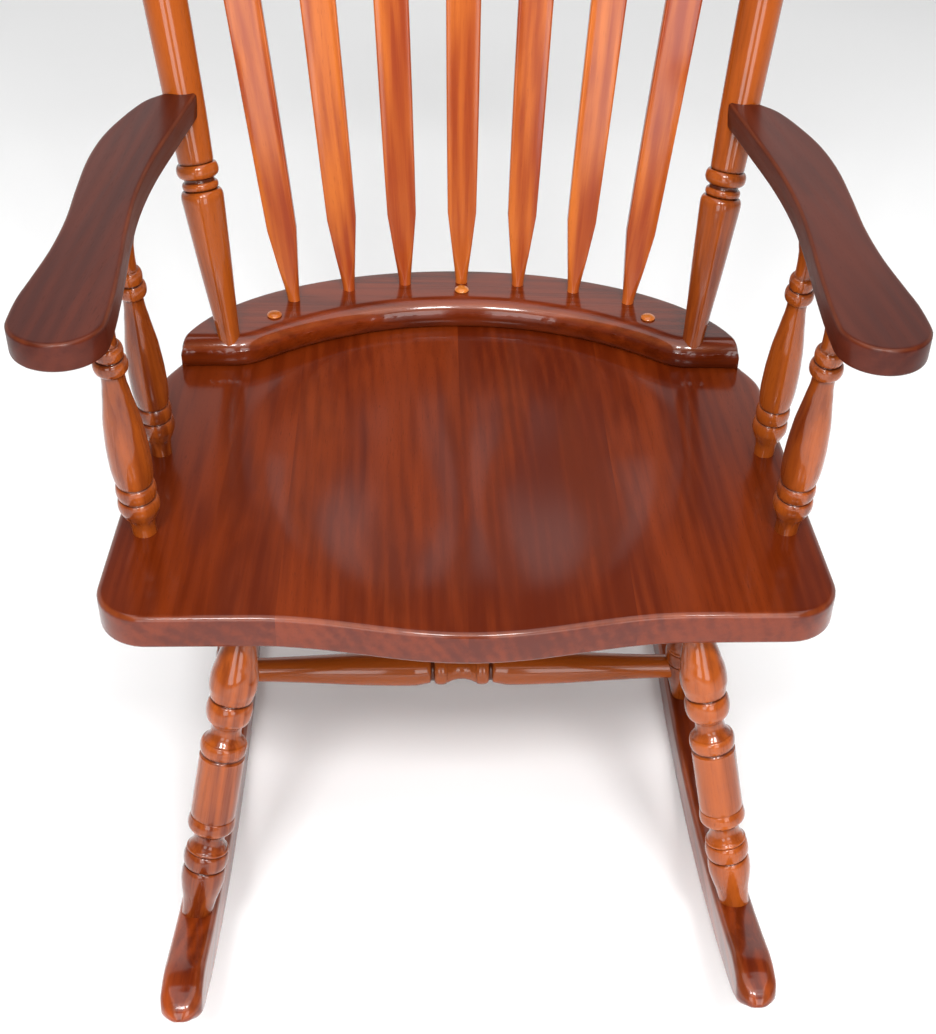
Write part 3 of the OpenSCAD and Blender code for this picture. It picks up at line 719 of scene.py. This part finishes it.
def board_skin(plan, left, right):
    """One board of the seat between two glue lines; None stands for the seat's own side."""
    columns = plan.columns(left, right)
    round_top, round_under = plan.sizes["seat_edge"], 3.0
    bend = np.radians(np.linspace(0, 90, 7))
    rings = [(round_top * (1 - math.sin(a)), plan.top - round_top * (1 - math.cos(a))) for a in bend]
    rings += [(0.0, mix(plan.top - round_top, plan.under + round_under, k)) for k in (0.33, 0.66)]
    rings += [(round_under * (1 - math.cos(a)), plan.under + round_under * (1 - math.sin(a)))
              for a in bend]
    # Positive relief on the rounded top edge: lighter worn colour, partly wear and partly a painted
    # highlight.
    wear_and_highlight = [0.0, 0.5, 0.9, 1.0, 0.8, 0.3] + [0.0] * 10
    skin = Skin()
    top, under = plan.grid(columns, round_top), plan.grid(columns, round_under)
    top = np.dstack([top, plan.top - plan.scoop(top[..., 0], top[..., 1])])
    under = np.dstack([under, np.full(under.shape[:2], plan.under)])
    skin.patch(top)
    skin.patch(under)

    def band(distances, side):
        """The rounded edge along a stretch of the outline, on one side or across the middle."""
        flip = np.ones((len(distances), 2))
        flip[:, 0] = side
        skin.patch([np.column_stack([plan.line.at(distances, inset) * flip, np.full(len(flip), z)])
                    for inset, z in rings], wear_and_highlight)

    signs = columns[:, 0]
    for distances in (columns[:, 1], columns[:, 2]):
        for side in (-1, 1):
            if (signs == side).any():
                band(distances[signs == side], side)
        for i in np.nonzero(np.diff(signs))[0]:
            band(distances[i : i + 2], signs[i : i + 2])
    if left is None or right is None:
        band(mix(plan.s_corner, plan.s_back, plan.rows), -1 if left is None else 1)
    for column in ([0] if left is not None else []) + ([-1] if right is not None else []):
        skin.patch([top[:, column], under[:, column]])
        for k, row in ((1, 0), (2, -1)):
            ends = [np.append(plan.line.at(columns[column, k], inset) * [signs[column], 1], z)
                    for inset, z in rings]
            skin.lid([top[row, column], *ends[1:-1], under[row, column]])
    return skin


class SeatOperator(bpy.types.Operator):
    """Builds the seat from its four glued boards, scooped and rounded over"""

    bl_idname = "chair.seat"
    bl_label = "Seat boards"

    def execute(self, context):
        plan = SeatPlan()
        names = [f"seat_board_{i}" for i in (1, 2, 3, 4)]
        seams = [node_box(n)[1][0] for n in names[:3]]
        tones = (0.03, 0.0, -0.06, 0.02)
        for name, left, right, tone in zip(names, [None, *seams], [*seams, None], tones):
            skin = board_skin(plan, left, right)
            tilt = math.radians(random.Random(name).uniform(-2.5, 2.5))
            along = np.array([math.sin(tilt), math.cos(tilt), 0])
            grain = [np.cross(along, ALONG_Z), ALONG_Z, along]
            make_piece(name, skin, "seat", grain, [0, 0, plan.top - 60], tone)
        return {"FINISHED"}


# ---------------------------------------------------------------- back

class RailOperator(bpy.types.Operator):
    """Builds the curved back rail with its rolled front edge, and the buttons over its screws"""

    bl_idname = "chair.rail"
    bl_label = "Back rail"

    def execute(self, context):
        s = sizes()
        low, high = node_box("back_rail")
        front_y, half, high_z = low[1], high[0], high[2] - low[2]
        back = high[1] - front_y + s["rail_root"]
        start = math.asin(s["rail_root"] / back)
        tip = half * math.cos(start)
        x = steps(-tip, tip, 2)
        kink = 26  # the corners where the straight ends meet the hollow are eased over this
        front = Line(np.stack([x, front_y + rail_hollow(s, half, x)], 1)).softened(kink)
        turn = np.linspace(math.pi - start, start, 200)
        rear = Line(np.stack([half * np.cos(turn), front_y - s["rail_root"] + back * np.sin(turn)], 1))
        share = np.linspace(0, 1, 161)
        share = mix(share, (1 - np.cos(np.pi * share)) / 2, 0.6)
        near, far = front.at(share * front.far[-1]), rear.at(share * rear.far[-1])
        near[0], near[-1] = far[0], far[-1]
        roll, lip, tuck = s["rail_roll"], 2.5, 5.0
        bend = np.linspace(0, np.pi / 2, 12)
        wall = high_z - roll

        def rise(places):
            gaps = np.linalg.norm(places[:, None] - front.points[None], axis=2).min(1)
            return wall + np.sqrt(np.maximum(roll ** 2 - np.maximum(roll - gaps, 0) ** 2, 0))

        rows = []
        for a, b in zip(near, far):
            deep = np.linalg.norm(b - a)
            away = (b - a) / max(deep, 1e-9)
            flat_end = max(deep - lip, 0)
            rolled = np.minimum(roll * 1.25 * (1 - np.cos(bend)), flat_end)
            flat = np.linspace(rolled[-1], flat_end, 8)[1:]
            out = np.minimum(flat_end + lip * np.sin(bend[1::2]), deep)
            under = np.minimum(tuck * (1 - np.sin(bend[:-1])), deep * 0.5)
            depth = np.concatenate([under, rolled, flat, out, [deep, deep, deep]])
            places = a + away * depth[:, None]
            z = rise(places)
            z[: len(under)] = wall * (1 - np.cos(bend[:-1]))
            edge = z[len(under) + len(rolled) + len(flat) - 1]
            z[-len(out) - 3 : -3] = edge - lip * (1 - np.cos(bend[1::2])) * min(1, deep / lip)
            z[-3:] = (edge / 2, edge / 4, 0)
            rows.append(np.column_stack([places, low[2] + z]))
        rows = np.array(rows)
        skin = Skin()
        # Positive relief on the rolled front edge: lighter worn colour, partly wear and partly a
        # painted highlight.
        wear_and_highlight = np.zeros(rows.shape[1])
        wear_and_highlight[13:19] = (0.2, 0.5, 0.7, 0.7, 0.4, 0.1)
        skin.patch(np.transpose(rows, (1, 0, 2)), wear_and_highlight)
        skin.patch([rows[:, 0], rows[:, -1]])
        make_piece("back_rail", skin, "rail", [ALONG_Y, ALONG_Z, ALONG_X],
                   [0, front_y - 40, low[2] - 30])
        self.buttons()
        return {"FINISHED"}

    def buttons(self):
        """The round buttons that cover the rail's screws."""
        points = node_points("rail_buttons")
        skin = Skin()
        rail_top = node_box("back_rail")[1][2]
        for low, high in ((-400, -60), (-60, 60), (60, 400)):
            part = points[(points[:, 0] > low) & (points[:, 0] < high)]
            middle = (part.min(0) + part.max(0)) / 2
            r = (part[:, 0].max() - part[:, 0].min()) / 2
            tall = part[:, 2].max() - rail_top
            marks = [(-3, r - 0.8, "c"), (0.1, r - 0.7, "cv"), (0.9, r, "s"), (2.1, r * 0.86, "s"),
                     (3.3, r * 0.52, "s"), (tall, 0.3, "f")]
            foot = np.array([middle[0], middle[1], rail_top])
            skin.turn(turned_line(marks, 0.5), foot, ALONG_Z, 40)
        make_piece("rail_buttons", skin, "button", [ALONG_Y, ALONG_Z, ALONG_X],
                   [0, 0, rail_top - 40])


class CrestOperator(bpy.types.Operator):
    """Builds the bowed crest rail that holds the tops of the posts and spindles"""

    bl_idname = "chair.crest"
    bl_label = "Crest rail"
    lean = 11.0  # degrees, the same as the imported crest's

    def execute(self, context):
        s = sizes()
        points = node_points("crest_rail")
        half, thick = points[:, 0].max(), s["crest_thickness"]
        lean = math.radians(self.lean)
        up = np.array([0, math.sin(lean), math.cos(lean)])
        away = np.array([0, math.cos(lean), -math.sin(lean)])
        origin = self.origin(points, up, away)
        tall = ((points - origin) @ up).max()
        post_x = middle_line("back_post_right")[1][0]
        corner, edge = 18.0, 4.5

        def sag(x):
            u = x / post_x
            return s["crest_bow"] * (0.4 * u ** 2 + 0.6 * u ** 4)

        turn = np.linspace(0, np.pi / 2, 14)[1:]
        x = np.concatenate([steps(0, half - corner, 6), half - corner + corner * np.sin(turn)])
        x = np.concatenate([-x[:0:-1], x])
        bend = np.linspace(0, np.pi / 2, 6)
        rows = []
        for v in x:
            over = max(abs(v) - (half - corner), 0)
            cut = corner - math.sqrt(max(corner ** 2 - over ** 2, 0))
            top = tall - s["crest_drop"] * min(abs(v) / (half - corner), 1) ** 2 - cut
            end = half - abs(v)
            pinch = edge - math.sqrt(max(edge ** 2 - max(edge - end, 0) ** 2, 0))
            t, r = thick / 2 - pinch, edge - pinch * 0.9
            slope = math.atan(sag(v + 0.5) - sag(v - 0.5))
            out = np.array([math.sin(slope), 0, 0]) + away * math.cos(slope)
            centre = origin + ALONG_X * v - away * sag(v)
            section = [(r * math.sin(a) + t - r, top - r * (1 - math.cos(a))) for a in bend]
            section += [(t, mix(top - r, cut + r, k)) for k in (0.25, 0.5, 0.75)]
            section += [(t - r * (1 - math.cos(a)), cut + r * (1 - math.sin(a))) for a in bend]
            section += [(-d, h) for d, h in section[::-1]]
            section.append(section[0])
            rows.append([centre + out * d + up * h for d, h in section])
        skin = Skin()
        skin.bar(rows)
        make_piece("crest_rail", skin, "crest", [away, up, ALONG_X], origin - away * 60)
        return {"FINISHED"}

    def origin(self, points, up, away):
        """The middle of the crest's lower edge."""
        flat = points[np.abs(points[:, 0]) < 30]
        lowest = (flat @ up).min()
        depth = flat @ away
        inner = depth[np.abs(flat[:, 0]) < 20]
        return up * lowest + away * (inner.min() + inner.max()) / 2


class PostOperator(bpy.types.Operator):
    """Builds the two turned back posts"""

    bl_idname = "chair.posts"
    bl_label = "Back posts"

    def execute(self, context):
        rail_top = node_box("back_rail")[1][2]
        for side in ("left", "right"):
            node = f"back_post_{side}"
            low, high = middle_line(node)
            axis = unit(high - low)
            foot = at_height(low, high, rail_top)
            tall = np.linalg.norm(high - foot) - CREST_TENON
            marks = [
                (-12, 9.85, "c"), (0, 9.85, "s"), (14, 10.6, "s"), (62, 14.2, "s"), (100, 16.7, "s"),
                (117, 17.8, "s"), (123.5, 18.1, "f"), (129.6, 14.6, "v"),
                (130.0, 13.8, "cv"), (133.6, 15.5, "f"), (136.8, 13.2, "v"), (138.6, 12.9, "f"),
                (140.2, 13.8, "v"), (146.2, 18.0, "f"), (152.4, 14.8, "v"), (152.8, 14.2, "c"),
                (153.2, 14.8, "s"), (160, 15.2, "s"), (208, 16.7, "s"), (tall * 0.62, 18.2, "f"),
                (tall * 0.76, 17.2, "s"), (tall * 0.895, 13.4, "s"), (tall * 0.905, 12.8, "cv"),
                (tall * 0.925, 16.4, "f"), (tall * 0.945, 12.0, "v"), (tall * 0.95, 11.6, "s"),
                (tall + 12, 11.5, "c"),
            ]
            turned_piece(node, marks, foot, axis, ALONG_X * 14, tone=0.28)
        return {"FINISHED"}


def slat_section(wide, thick, corner):
    """A rounded bar seen end on."""
    corner = min(corner, wide, thick)
    out = []
    for quarter, (sx, sy) in enumerate(((1, 1), (-1, 1), (-1, -1), (1, -1))):
        for a in np.radians(quarter * 90 + np.linspace(0, 90, 6)):
            out.append((sx * (wide - corner) + corner * math.cos(a),
                        sy * (thick - corner) + corner * math.sin(a)))
        next_sx = (-1, -1, 1, 1)[quarter]
        if sx != next_sx:
            out.extend(((wide - corner) * k, sy * thick) for k in np.linspace(sx, next_sx, 7)[1:-1])
    return out + out[:1]


class SpindleOperator(bpy.types.Operator):
    """Builds the seven flat arrow-shaped back spindles"""

    bl_idname = "chair.spindles"
    bl_label = "Back spindles"

    def execute(self, context):
        s = sizes()
        rail_top = node_box("back_rail")[1][2]
        shoulder = 67  # where the arrow's point ends
        for i in range(1, 8):
            node = f"spindle_{i}"
            low, high = middle_line(node)
            axis = unit(high - low)
            foot = at_height(low, high, rail_top)
            tall = np.linalg.norm(high - foot) - CREST_TENON
            wide, through = across(axis)
            marks = [
                (-8, 5.5), (0, 5.65), (5, 5.75), (shoulder, 13.15), (110, 13.9), (180, 14.7),
                (251, 15.25), (tall * 0.7, 16.4), (tall * 0.8, 16.0), (tall * 0.9, 13.0),
                (tall, 8.0), (tall + 10, 6),
            ]
            thick = [(-8, 5.5), (0, 5.6), (20, 5.35), (tall + 10, 5.25)]
            heights = np.unique(np.concatenate([
                steps(-8, shoulder - 7, 4), [shoulder - 1, shoulder, shoulder + 1],
                steps(shoulder + 5, tall + 10, 9),
            ]))
            rows = []
            for h in heights:
                w = np.interp(h, *zip(*marks))
                t = np.interp(h, *zip(*thick))
                corner = mix(5.6, s["spindle_edge"], float(ease((h - 2) / 34)))
                centre = foot + axis * h
                rows.append([centre + wide * a + through * b for a, b in slat_section(w, t, corner)])
            rows = np.array(rows)
            # Positive relief on the long edges: lighter worn colour, partly wear and partly a painted
            # highlight.
            rubbed_and_highlighted = [0.5 * (abs(a) > 12) for a, b in slat_section(13.5, 5.25, s["spindle_edge"])]
            skin = Skin()
            skin.bar(rows, np.broadcast_to(rubbed_and_highlighted, rows.shape[:2]))
            make_piece(node, skin, "spindle", [wide, through, axis], foot - through * 25, sharp=50,
                       tone=random.Random(node).uniform(-0.12, 0.12))
        return {"FINISHED"}


# ---------------------------------------------------------------- arms

class ArmOperator(bpy.types.Operator):
    """Builds the two flat shaped arms"""

    bl_idname = "chair.arms"
    bl_label = "Arms"

    def execute(self, context):
        s = sizes()
        for side, turn in (("left", -1), ("right", 1)):
            node = f"arm_{side}"
            low, high = node_box(node)
            post = at_height(*middle_line(f"back_post_{side}"), (low[2] + high[2]) / 2)
            reach = post[1] - low[1]
            nose, mid = 32.5, 39.0
            tip = reach - nose
            around = [(tip + nose * math.sin(a), mid + nose * math.cos(a))
                      for a in np.radians(np.arange(0, 181, 15))]
            outer = [(12, 15), (28, 29), (60, 42), (96, 52), (138, 57), (186, 57.5), (235, 57),
                     (280, 60), (321, 66), (348, 70.2)]
            inner = [(343, 6.5), (293, 8.5), (246, 11), (193, 11.5), (135, 7), (66, -3.5), (12, -12)]
            flat = flowing_line(outer + around + inner, 4)
            line = Line(np.stack([flat[:, 1], -flat[:, 0]], 1))
            far = steps(0, line.far[-1], 3)
            edge = s["arm_edge"]
            bend = np.radians(np.linspace(0, 90, 6))
            flat_in = edge + 1.5
            rings = [(flat_in, high[2])]
            rings += [(edge * (1 - math.sin(a)), high[2] - edge * (1 - math.cos(a))) for a in bend]
            rings += [(0.0, mix(high[2] - edge, low[2] + edge, 0.5))]
            rings += [(edge * (1 - math.cos(a)), low[2] + edge * (1 - math.sin(a))) for a in bend]
            rings += [(flat_in, low[2])]
            # Positive relief on the top and bottom edges: lighter worn colour, partly wear and partly a
            # painted highlight.
            wear_and_highlight = np.array([0, 0.2, 0.8, 1.0, 0.8, 0.3, 0, 0, 0, 0.2, 0.4, 0.4, 0.2, 0, 0])
            rows = []
            for inset, z in rings:
                place = line.at(far, -inset)
                rows.append([[turn * (turn * post[0] + p[0]), post[1] + p[1], z] for p in place])
            rows = np.array(rows)
            skin = Skin()
            skin.patch(rows, wear_and_highlight)
            skin.lid(rows[0])
            skin.lid(rows[-1])
            skin.lid(np.concatenate([rows[:, 0], rows[::-1, -1]]))
            along = unit([turn * 0.13, -1, 0])
            make_piece(node, skin, "arm", [np.cross(along, ALONG_Z), ALONG_Z, along],
                       [post[0], post[1], low[2] - 45])
        return {"FINISHED"}


class SupportOperator(bpy.types.Operator):
    """Builds the four turned supports between the seat and the arms"""

    bl_idname = "chair.supports"
    bl_label = "Arm supports"

    def execute(self, context):
        seat_top = node_box("seat_board_1")[1][2]
        arm_under = node_box("arm_left")[0][2]
        for place, slim in (("front", 1.0), ("rear", 0.92)):
            for side in ("left", "right"):
                node = f"arm_support_{place}_{side}"
                low, high = middle_line(node)
                axis = unit(high - low)
                foot = at_height(low, high, seat_top)
                tall = np.linalg.norm(at_height(low, high, arm_under) - foot)
                drawn = 215.6
                marks = [
                    (-8, 9.4, "c"), (0, 9.3, "s"), (8, 9.4, "s"), (14, 10.3, "s"), (23, 14.0, "s"),
                    (31, 16.0, "f"), (38.3, 13.4, "v"), (38.8, 13.2, "cv"), (45.6, 15.4, "f"),
                    (52.4, 13.2, "v"), (53.2, 12.9, "cv"), (59, 14.8, "s"), (76, 15.8, "f"),
                    (108, 14.4, "s"), (138, 10.4, "s"), (156, 8.6, "f"), (159.4, 9.4, "v"),
                    (165.4, 12.6, "f"), (171.2, 9.9, "v"), (171.8, 9.3, "cv"), (177.6, 11.0, "f"),
                    (182.8, 8.6, "v"), (188, 7.6, "f"), (203, 8.3, "s"), (213, 10.2, "s"),
                    (222, 11.0, "c"),
                ]
                marks = [(z * tall / drawn, r * slim, kind) for z, r, kind in marks]
                turned_piece(node, marks, foot, axis, ALONG_X * 12)
        return {"FINISHED"}


# ---------------------------------------------------------------- legs and rockers

class LegOperator(bpy.types.Operator):
    """Builds the four turned legs"""

    bl_idname = "chair.legs"
    bl_label = "Legs"

    def execute(self, context):
        for place in ("front", "rear"):
            for side in ("left", "right"):
                node = f"leg_{place}_{side}"
                low, high = middle_line(node)
                axis = unit(high - low)
                foot = low + axis * LEG_TENON
                tall = np.linalg.norm(high - foot) - LEG_TENON
                marks = [
                    (-0.03, 12.2, "c"), (0.0, 12.4, "s"), (0.05, 13.8, "s"), (0.10, 16.6, "s"),
                    (0.138, 17.6, "f"),
                    (0.1665, 15.9, "v"), (0.169, 15.3, "cv"), (0.199, 18.0, "f"), (0.2255, 15.8, "v"),
                    (0.228, 16.0, "cv"), (0.233, 16.9, "f"), (0.2385, 15.4, "c"), (0.271, 12.2, "f"),
                    (0.295, 14.0, "s"), (0.2965, 14.4, "cv"), (0.319, 18.9, "f"), (0.344, 17.9, "c"),
                    (0.347, 17.4, "c"), (0.351, 17.8, "cs"), (0.549, 17.8, "sv"), (0.556, 16.0, "c"),
                    (0.559, 16.0, "cv"), (0.583, 18.4, "f"), (0.603, 16.6, "v"), (0.606, 15.6, "cs"),
                    (0.640, 11.8, "f"), (0.655, 12.6, "s"), (0.659, 13.4, "c"), (0.664, 13.6, "cv"),
                    (0.705, 18.1, "f"), (0.735, 15.6, "v"), (0.738, 15.1, "cv"), (0.762, 17.6, "s"),
                    (0.788, 18.8, "f"), (0.86, 16.0, "s"), (0.921, 12.5, "s"), (0.97, 11.6, "f"),
                    (1.0, 11.9, "s"), (1.03, 12.2, "c"),
                ]
                marks = [(z * tall, r, kind) for z, r, kind in marks]
                turned_piece(node, marks, foot, axis, ALONG_X * 13)
        return {"FINISHED"}


class StretcherOperator(bpy.types.Operator):
    """Builds the turned stretcher between the rear legs"""

    bl_idname = "chair.stretcher"
    bl_label = "Rear stretcher"

    def execute(self, context):
        low, high = node_box("rear_stretcher")
        side = high[0]
        middle = np.array([0, (low[1] + high[1]) / 2, (low[2] + high[2]) / 2])
        half = [
            (0, 10.9, "f"), (8, 12.0, "s"), (13.6, 14.4, "c"), (14.2, 14.2, "cv"), (20.5, 16.5, "f"),
            (26.6, 13.4, "v"), (28.4, 12.2, "f"), (30.6, 13.6, "v"), (37, 15.7, "s"), (50, 17.25, "f"),
            (92, 16.4, "s"), (140, 14.0, "s"), (side - 30, 11.9, "s"), (side - 2, 11.6, "c"),
        ]
        marks = [(-z, r, kind[::-1]) for z, r, kind in half[:0:-1]] + half
        # Tone 0.55 lightens the whole stretcher: painted light that offsets the shade under the seat.
        turned_piece("rear_stretcher", marks, middle, ALONG_X, ALONG_Z * 12, tone=0.55)
        return {"FINISHED"}


class RockerOperator(bpy.types.Operator):
    """Builds the two rockers with their crowned tops and rounded noses"""

    bl_idname = "chair.rockers"
    bl_label = "Rockers"

    def execute(self, context):
        radius = sizes()["rocker_radius"]
        for side in ("left", "right"):
            node = f"rocker_{side}"
            low, high = node_box(node)
            centre_x, wide = (low[0] + high[0]) / 2, (high[0] - low[0]) / 2
            tall, nose, blunt, corner, crown = 34.0, 46.0, 15.0, 4.2, 1.2
            ring = radius - tall / 2
            front = math.asin((-low[1] - nose) / ring)
            rear = math.asin((high[1] - nose) / ring)
            turn = np.linspace(0, np.pi / 2, 26)[1:]
            past_end = nose / ring * np.sin(turn)
            middle = steps(-front, rear, 10 / ring)
            angle = np.concatenate([(-front - past_end)[::-1], middle, rear + past_end])
            fall = np.concatenate([np.cos(turn)[::-1], np.ones(len(middle)), np.cos(turn)])
            rows = []
            for a, share in zip(angle, fall):
                past = math.sqrt(1 - share ** 2) * nose
                h = max(tall / 2 * share, 0.6)
                w = wide * math.sqrt(max(1 - (max(past - nose + blunt, 0) / blunt) ** 2, 0.03))
                out = np.array([0, math.sin(a), -math.cos(a)])
                centre = np.array([centre_x, 0, radius]) + out * (ring + (tall / 2 - h) * 0.6)
                section = slat_section(w, h, min(corner + 9 * (1 - share), h, w))
                crowned = [(x, y - crown * share * (x / wide) ** 2 * (y > 0)) for x, y in section]
                rows.append([centre + ALONG_X * x - out * y for x, y in crowned])
            rows = np.array(rows)
            # Positive relief on the top edges: lighter worn colour, partly wear and partly a painted
            # highlight.
            rubbed_and_highlighted = [0.5 * (y > 8 and abs(x) > wide - 6) for x, y in slat_section(wide, nose, corner)]
            skin = Skin()
            skin.bar(rows, np.broadcast_to(rubbed_and_highlighted, rows.shape[:2]))
            make_piece(node, skin, "rocker", [ALONG_X, ALONG_Z, ALONG_Y], [centre_x, 0, -60])
        return {"FINISHED"}


class FixingOperator(bpy.types.Operator):
    """Finishes the screws and builds the wooden plugs behind the arms"""

    bl_idname = "chair.fixings"
    bl_label = "Screws and plugs"

    def execute(self, context):
        steel = screw_steel()
        for node in ("rail_screws", "arm_screws"):
            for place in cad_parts[node].material_slots:
                place.material = steel
        points = node_points("arm_screw_plugs")
        skin = Skin()
        for side in (-1, 1):
            part = points[points[:, 0] * side > 0]
            low, high = part.min(0), part.max(0)
            r = (high[0] - low[0]) / 2
            foot = np.array([(low[0] + high[0]) / 2, low[1], (low[2] + high[2]) / 2])
            deep = high[1] - low[1]
            marks = [(0, r - 0.2, "c"), (deep - 1.2, r, "s"), (deep - 0.4, r * 0.8, "s"),
                     (deep, 0.3, "f")]
            skin.turn(turned_line(marks, 0.5), foot, ALONG_Y, 32)
        make_piece("arm_screw_plugs", skin, "button", np.eye(3), [0, 0, 560])
        return {"FINISHED"}


# ---------------------------------------------------------------- stage

def soft_lamp(name, place, target, width, height, watts):
    """A rectangular lamp that faces its target."""
    lamp = bpy.data.lights.new(name, "AREA")
    lamp.shape, lamp.size, lamp.size_y, lamp.energy = "RECTANGLE", width, height, watts
    holder = bpy.data.objects.new(name, lamp)
    holder.location = place
    holder.rotation_euler = (Vector(target) - Vector(place)).to_track_quat("-Z", "Y").to_euler()
    bpy.context.scene.collection.objects.link(holder)


class StageOperator(bpy.types.Operator):
    """Sets the pale floor, the soft surroundings, the lamps and the camera"""

    bl_idname = "chair.stage"
    bl_label = "Stage"

    def execute(self, context):
        stage = context.scene.stage_settings
        self.floor(stage)
        self.surroundings(context.scene, stage)
        seat = (0, 0, 0.4)
        for name, x in (("soft_box_left", -0.42), ("soft_box_right", 0.42)):
            soft_lamp(name, (x, -1.9, 2.5), seat, 0.42, 0.42, stage.soft_box_power)
        soft_lamp("overhead", (0, -0.15, 3.4), seat, 3.2, 3.2, stage.overhead_power)
        soft_lamp("wide_front", (0, -2.1, 2.75), seat, 3.0, 1.7, stage.front_power)
        for name, x in (("standing_left", -0.75), ("standing_right", 0.75)):
            soft_lamp(name, (x, -2.6, 0.95), (x * 0.2, 0, 0.6), 0.9, 1.3, stage.standing_power)
        self.camera(context.scene)
        context.scene.view_settings.view_transform = "Standard"
        return {"FINISHED"}

    def floor(self, stage):
        """A plain pale floor, faintly mottled."""
        half = 14.0
        mesh = bpy.data.meshes.new("floor")
        corners = [(x * half, y * half, 0) for x, y in ((-1, -1), (1, -1), (1, 1), (-1, 1))]
        mesh.from_pydata(corners, [], [range(4)])
        floor = bpy.data.objects.new("floor", mesh)
        bpy.context.scene.collection.objects.link(floor)
        r = Recipe("Pale floor")
        place = r.node("ShaderNodeTexCoord", output="Object")
        mottle = r.noise(r.stretched(place, 3, 3, 3), 3)
        base = stage.floor_colour
        surface = r.node(
            "ShaderNodeBsdfPrincipled",
            inputs={
                "Base Color": r.blend(mottle * 0.3, base, shaded(base, 0.97)),
                "Roughness": 0.9,
                "Specular IOR Level": 0.1,
            },
        )
        mesh.materials.append(r.finish(surface))

    def surroundings(self, scene, stage):
        """A pale wall behind, a dimmer one in front, and a dark ceiling."""
        world = bpy.data.worlds.new("Studio")
        scene.world = world
        world.use_nodes = True
        tree = world.node_tree
        tree.nodes.clear()
        r = Recipe.of_tree(tree)
        place = r.node("ShaderNodeTexCoord", output="Generated")
        parts = r.node("ShaderNodeSeparateXYZ", inputs={0: place})
        back = Value(r, parts.socket.node.outputs["Y"])
        up = Value(r, parts.socket.node.outputs["Z"])
        wall_top, ceiling_edge = math.radians(30), math.radians(36)
        high = r.between(up, math.sin(wall_top), math.sin(ceiling_edge))
        behind = r.between(back, -0.25, 0.7)
        wall = stage.near + (stage.around - stage.near) * behind
        strength = wall + (stage.ceiling - wall) * high
        glow = r.node("ShaderNodeBackground", inputs={"Strength": strength})
        r.node("ShaderNodeOutputWorld", inputs={"Surface": glow})

    def camera(self, scene):
        """Looks down on the seat from the front."""
        view = bpy.data.cameras.new("Camera")
        view.lens, view.sensor_width, view.sensor_fit = 61.54, 36.0, "HORIZONTAL"
        view.shift_x, view.shift_y = -0.0814, 0.0591
        view.clip_start, view.clip_end = 0.05, 60
        holder = bpy.data.objects.new("Camera", view)
        scene.collection.objects.link(holder)
        yaw, pitch, roll = (math.radians(a) for a in (5.56, 39.25, -3.27))
        ahead = np.array([math.sin(yaw), math.cos(yaw), 0])
        forward = ahead * math.cos(pitch) - ALONG_Z * math.sin(pitch)
        right = np.array([math.cos(yaw), -math.sin(yaw), 0])
        down = np.cross(forward, right)
        level = math.cos(roll) * right + math.sin(roll) * down
        plumb = -math.sin(roll) * right + math.cos(roll) * down
        matrix = np.eye(4)
        matrix[:3, 0], matrix[:3, 1], matrix[:3, 2] = level, -plumb, -forward
        matrix[:3, 3] = (-0.0367, -1.1812, 1.1505)
        holder.matrix_world = Matrix(matrix.tolist())
        scene.camera = holder


# ---------------------------------------------------------------- panel and running

OPERATORS = (
    SeatOperator, RailOperator, CrestOperator, PostOperator, SpindleOperator, ArmOperator,
    SupportOperator, LegOperator, StretcherOperator, RockerOperator, FixingOperator, StageOperator,
)


class ChairPanel(bpy.types.Panel):
    """Lists the pieces of the chair"""

    bl_idname = "CHAIR_PT_pieces"
    bl_label = "Rocking chair"
    bl_space_type = "VIEW_3D"
    bl_region_type = "UI"
    bl_category = "Rocking chair"

    def draw(self, context):
        column = self.layout.column(align=True)
        for operator in OPERATORS:
            column.operator(operator.bl_idname)
        for group, owner in (
            (ChairSizes, context.scene.chair_sizes),
            (ChairColours, context.scene.chair_colours),
            (StageSettings, context.scene.stage_settings),
        ):
            box = self.layout.box()
            for name in group.__annotations__:
                box.prop(owner, name)


CLASSES = (ChairSizes, ChairColours, StageSettings, *OPERATORS, ChairPanel)


def register():
    for cls in CLASSES:
        bpy.utils.register_class(cls)
    bpy.types.Scene.chair_sizes = PointerProperty(type=ChairSizes)
    bpy.types.Scene.chair_colours = PointerProperty(type=ChairColours)
    bpy.types.Scene.stage_settings = PointerProperty(type=StageSettings)


def unregister():
    del bpy.types.Scene.chair_sizes
    del bpy.types.Scene.chair_colours
    del bpy.types.Scene.stage_settings
    for cls in reversed(CLASSES):
        bpy.utils.unregister_class(cls)


def main():
    register()
    for operator in OPERATORS:
        family, step = operator.bl_idname.split(".")
        getattr(getattr(bpy.ops, family), step)()


if __name__ == "__main__":
    main()
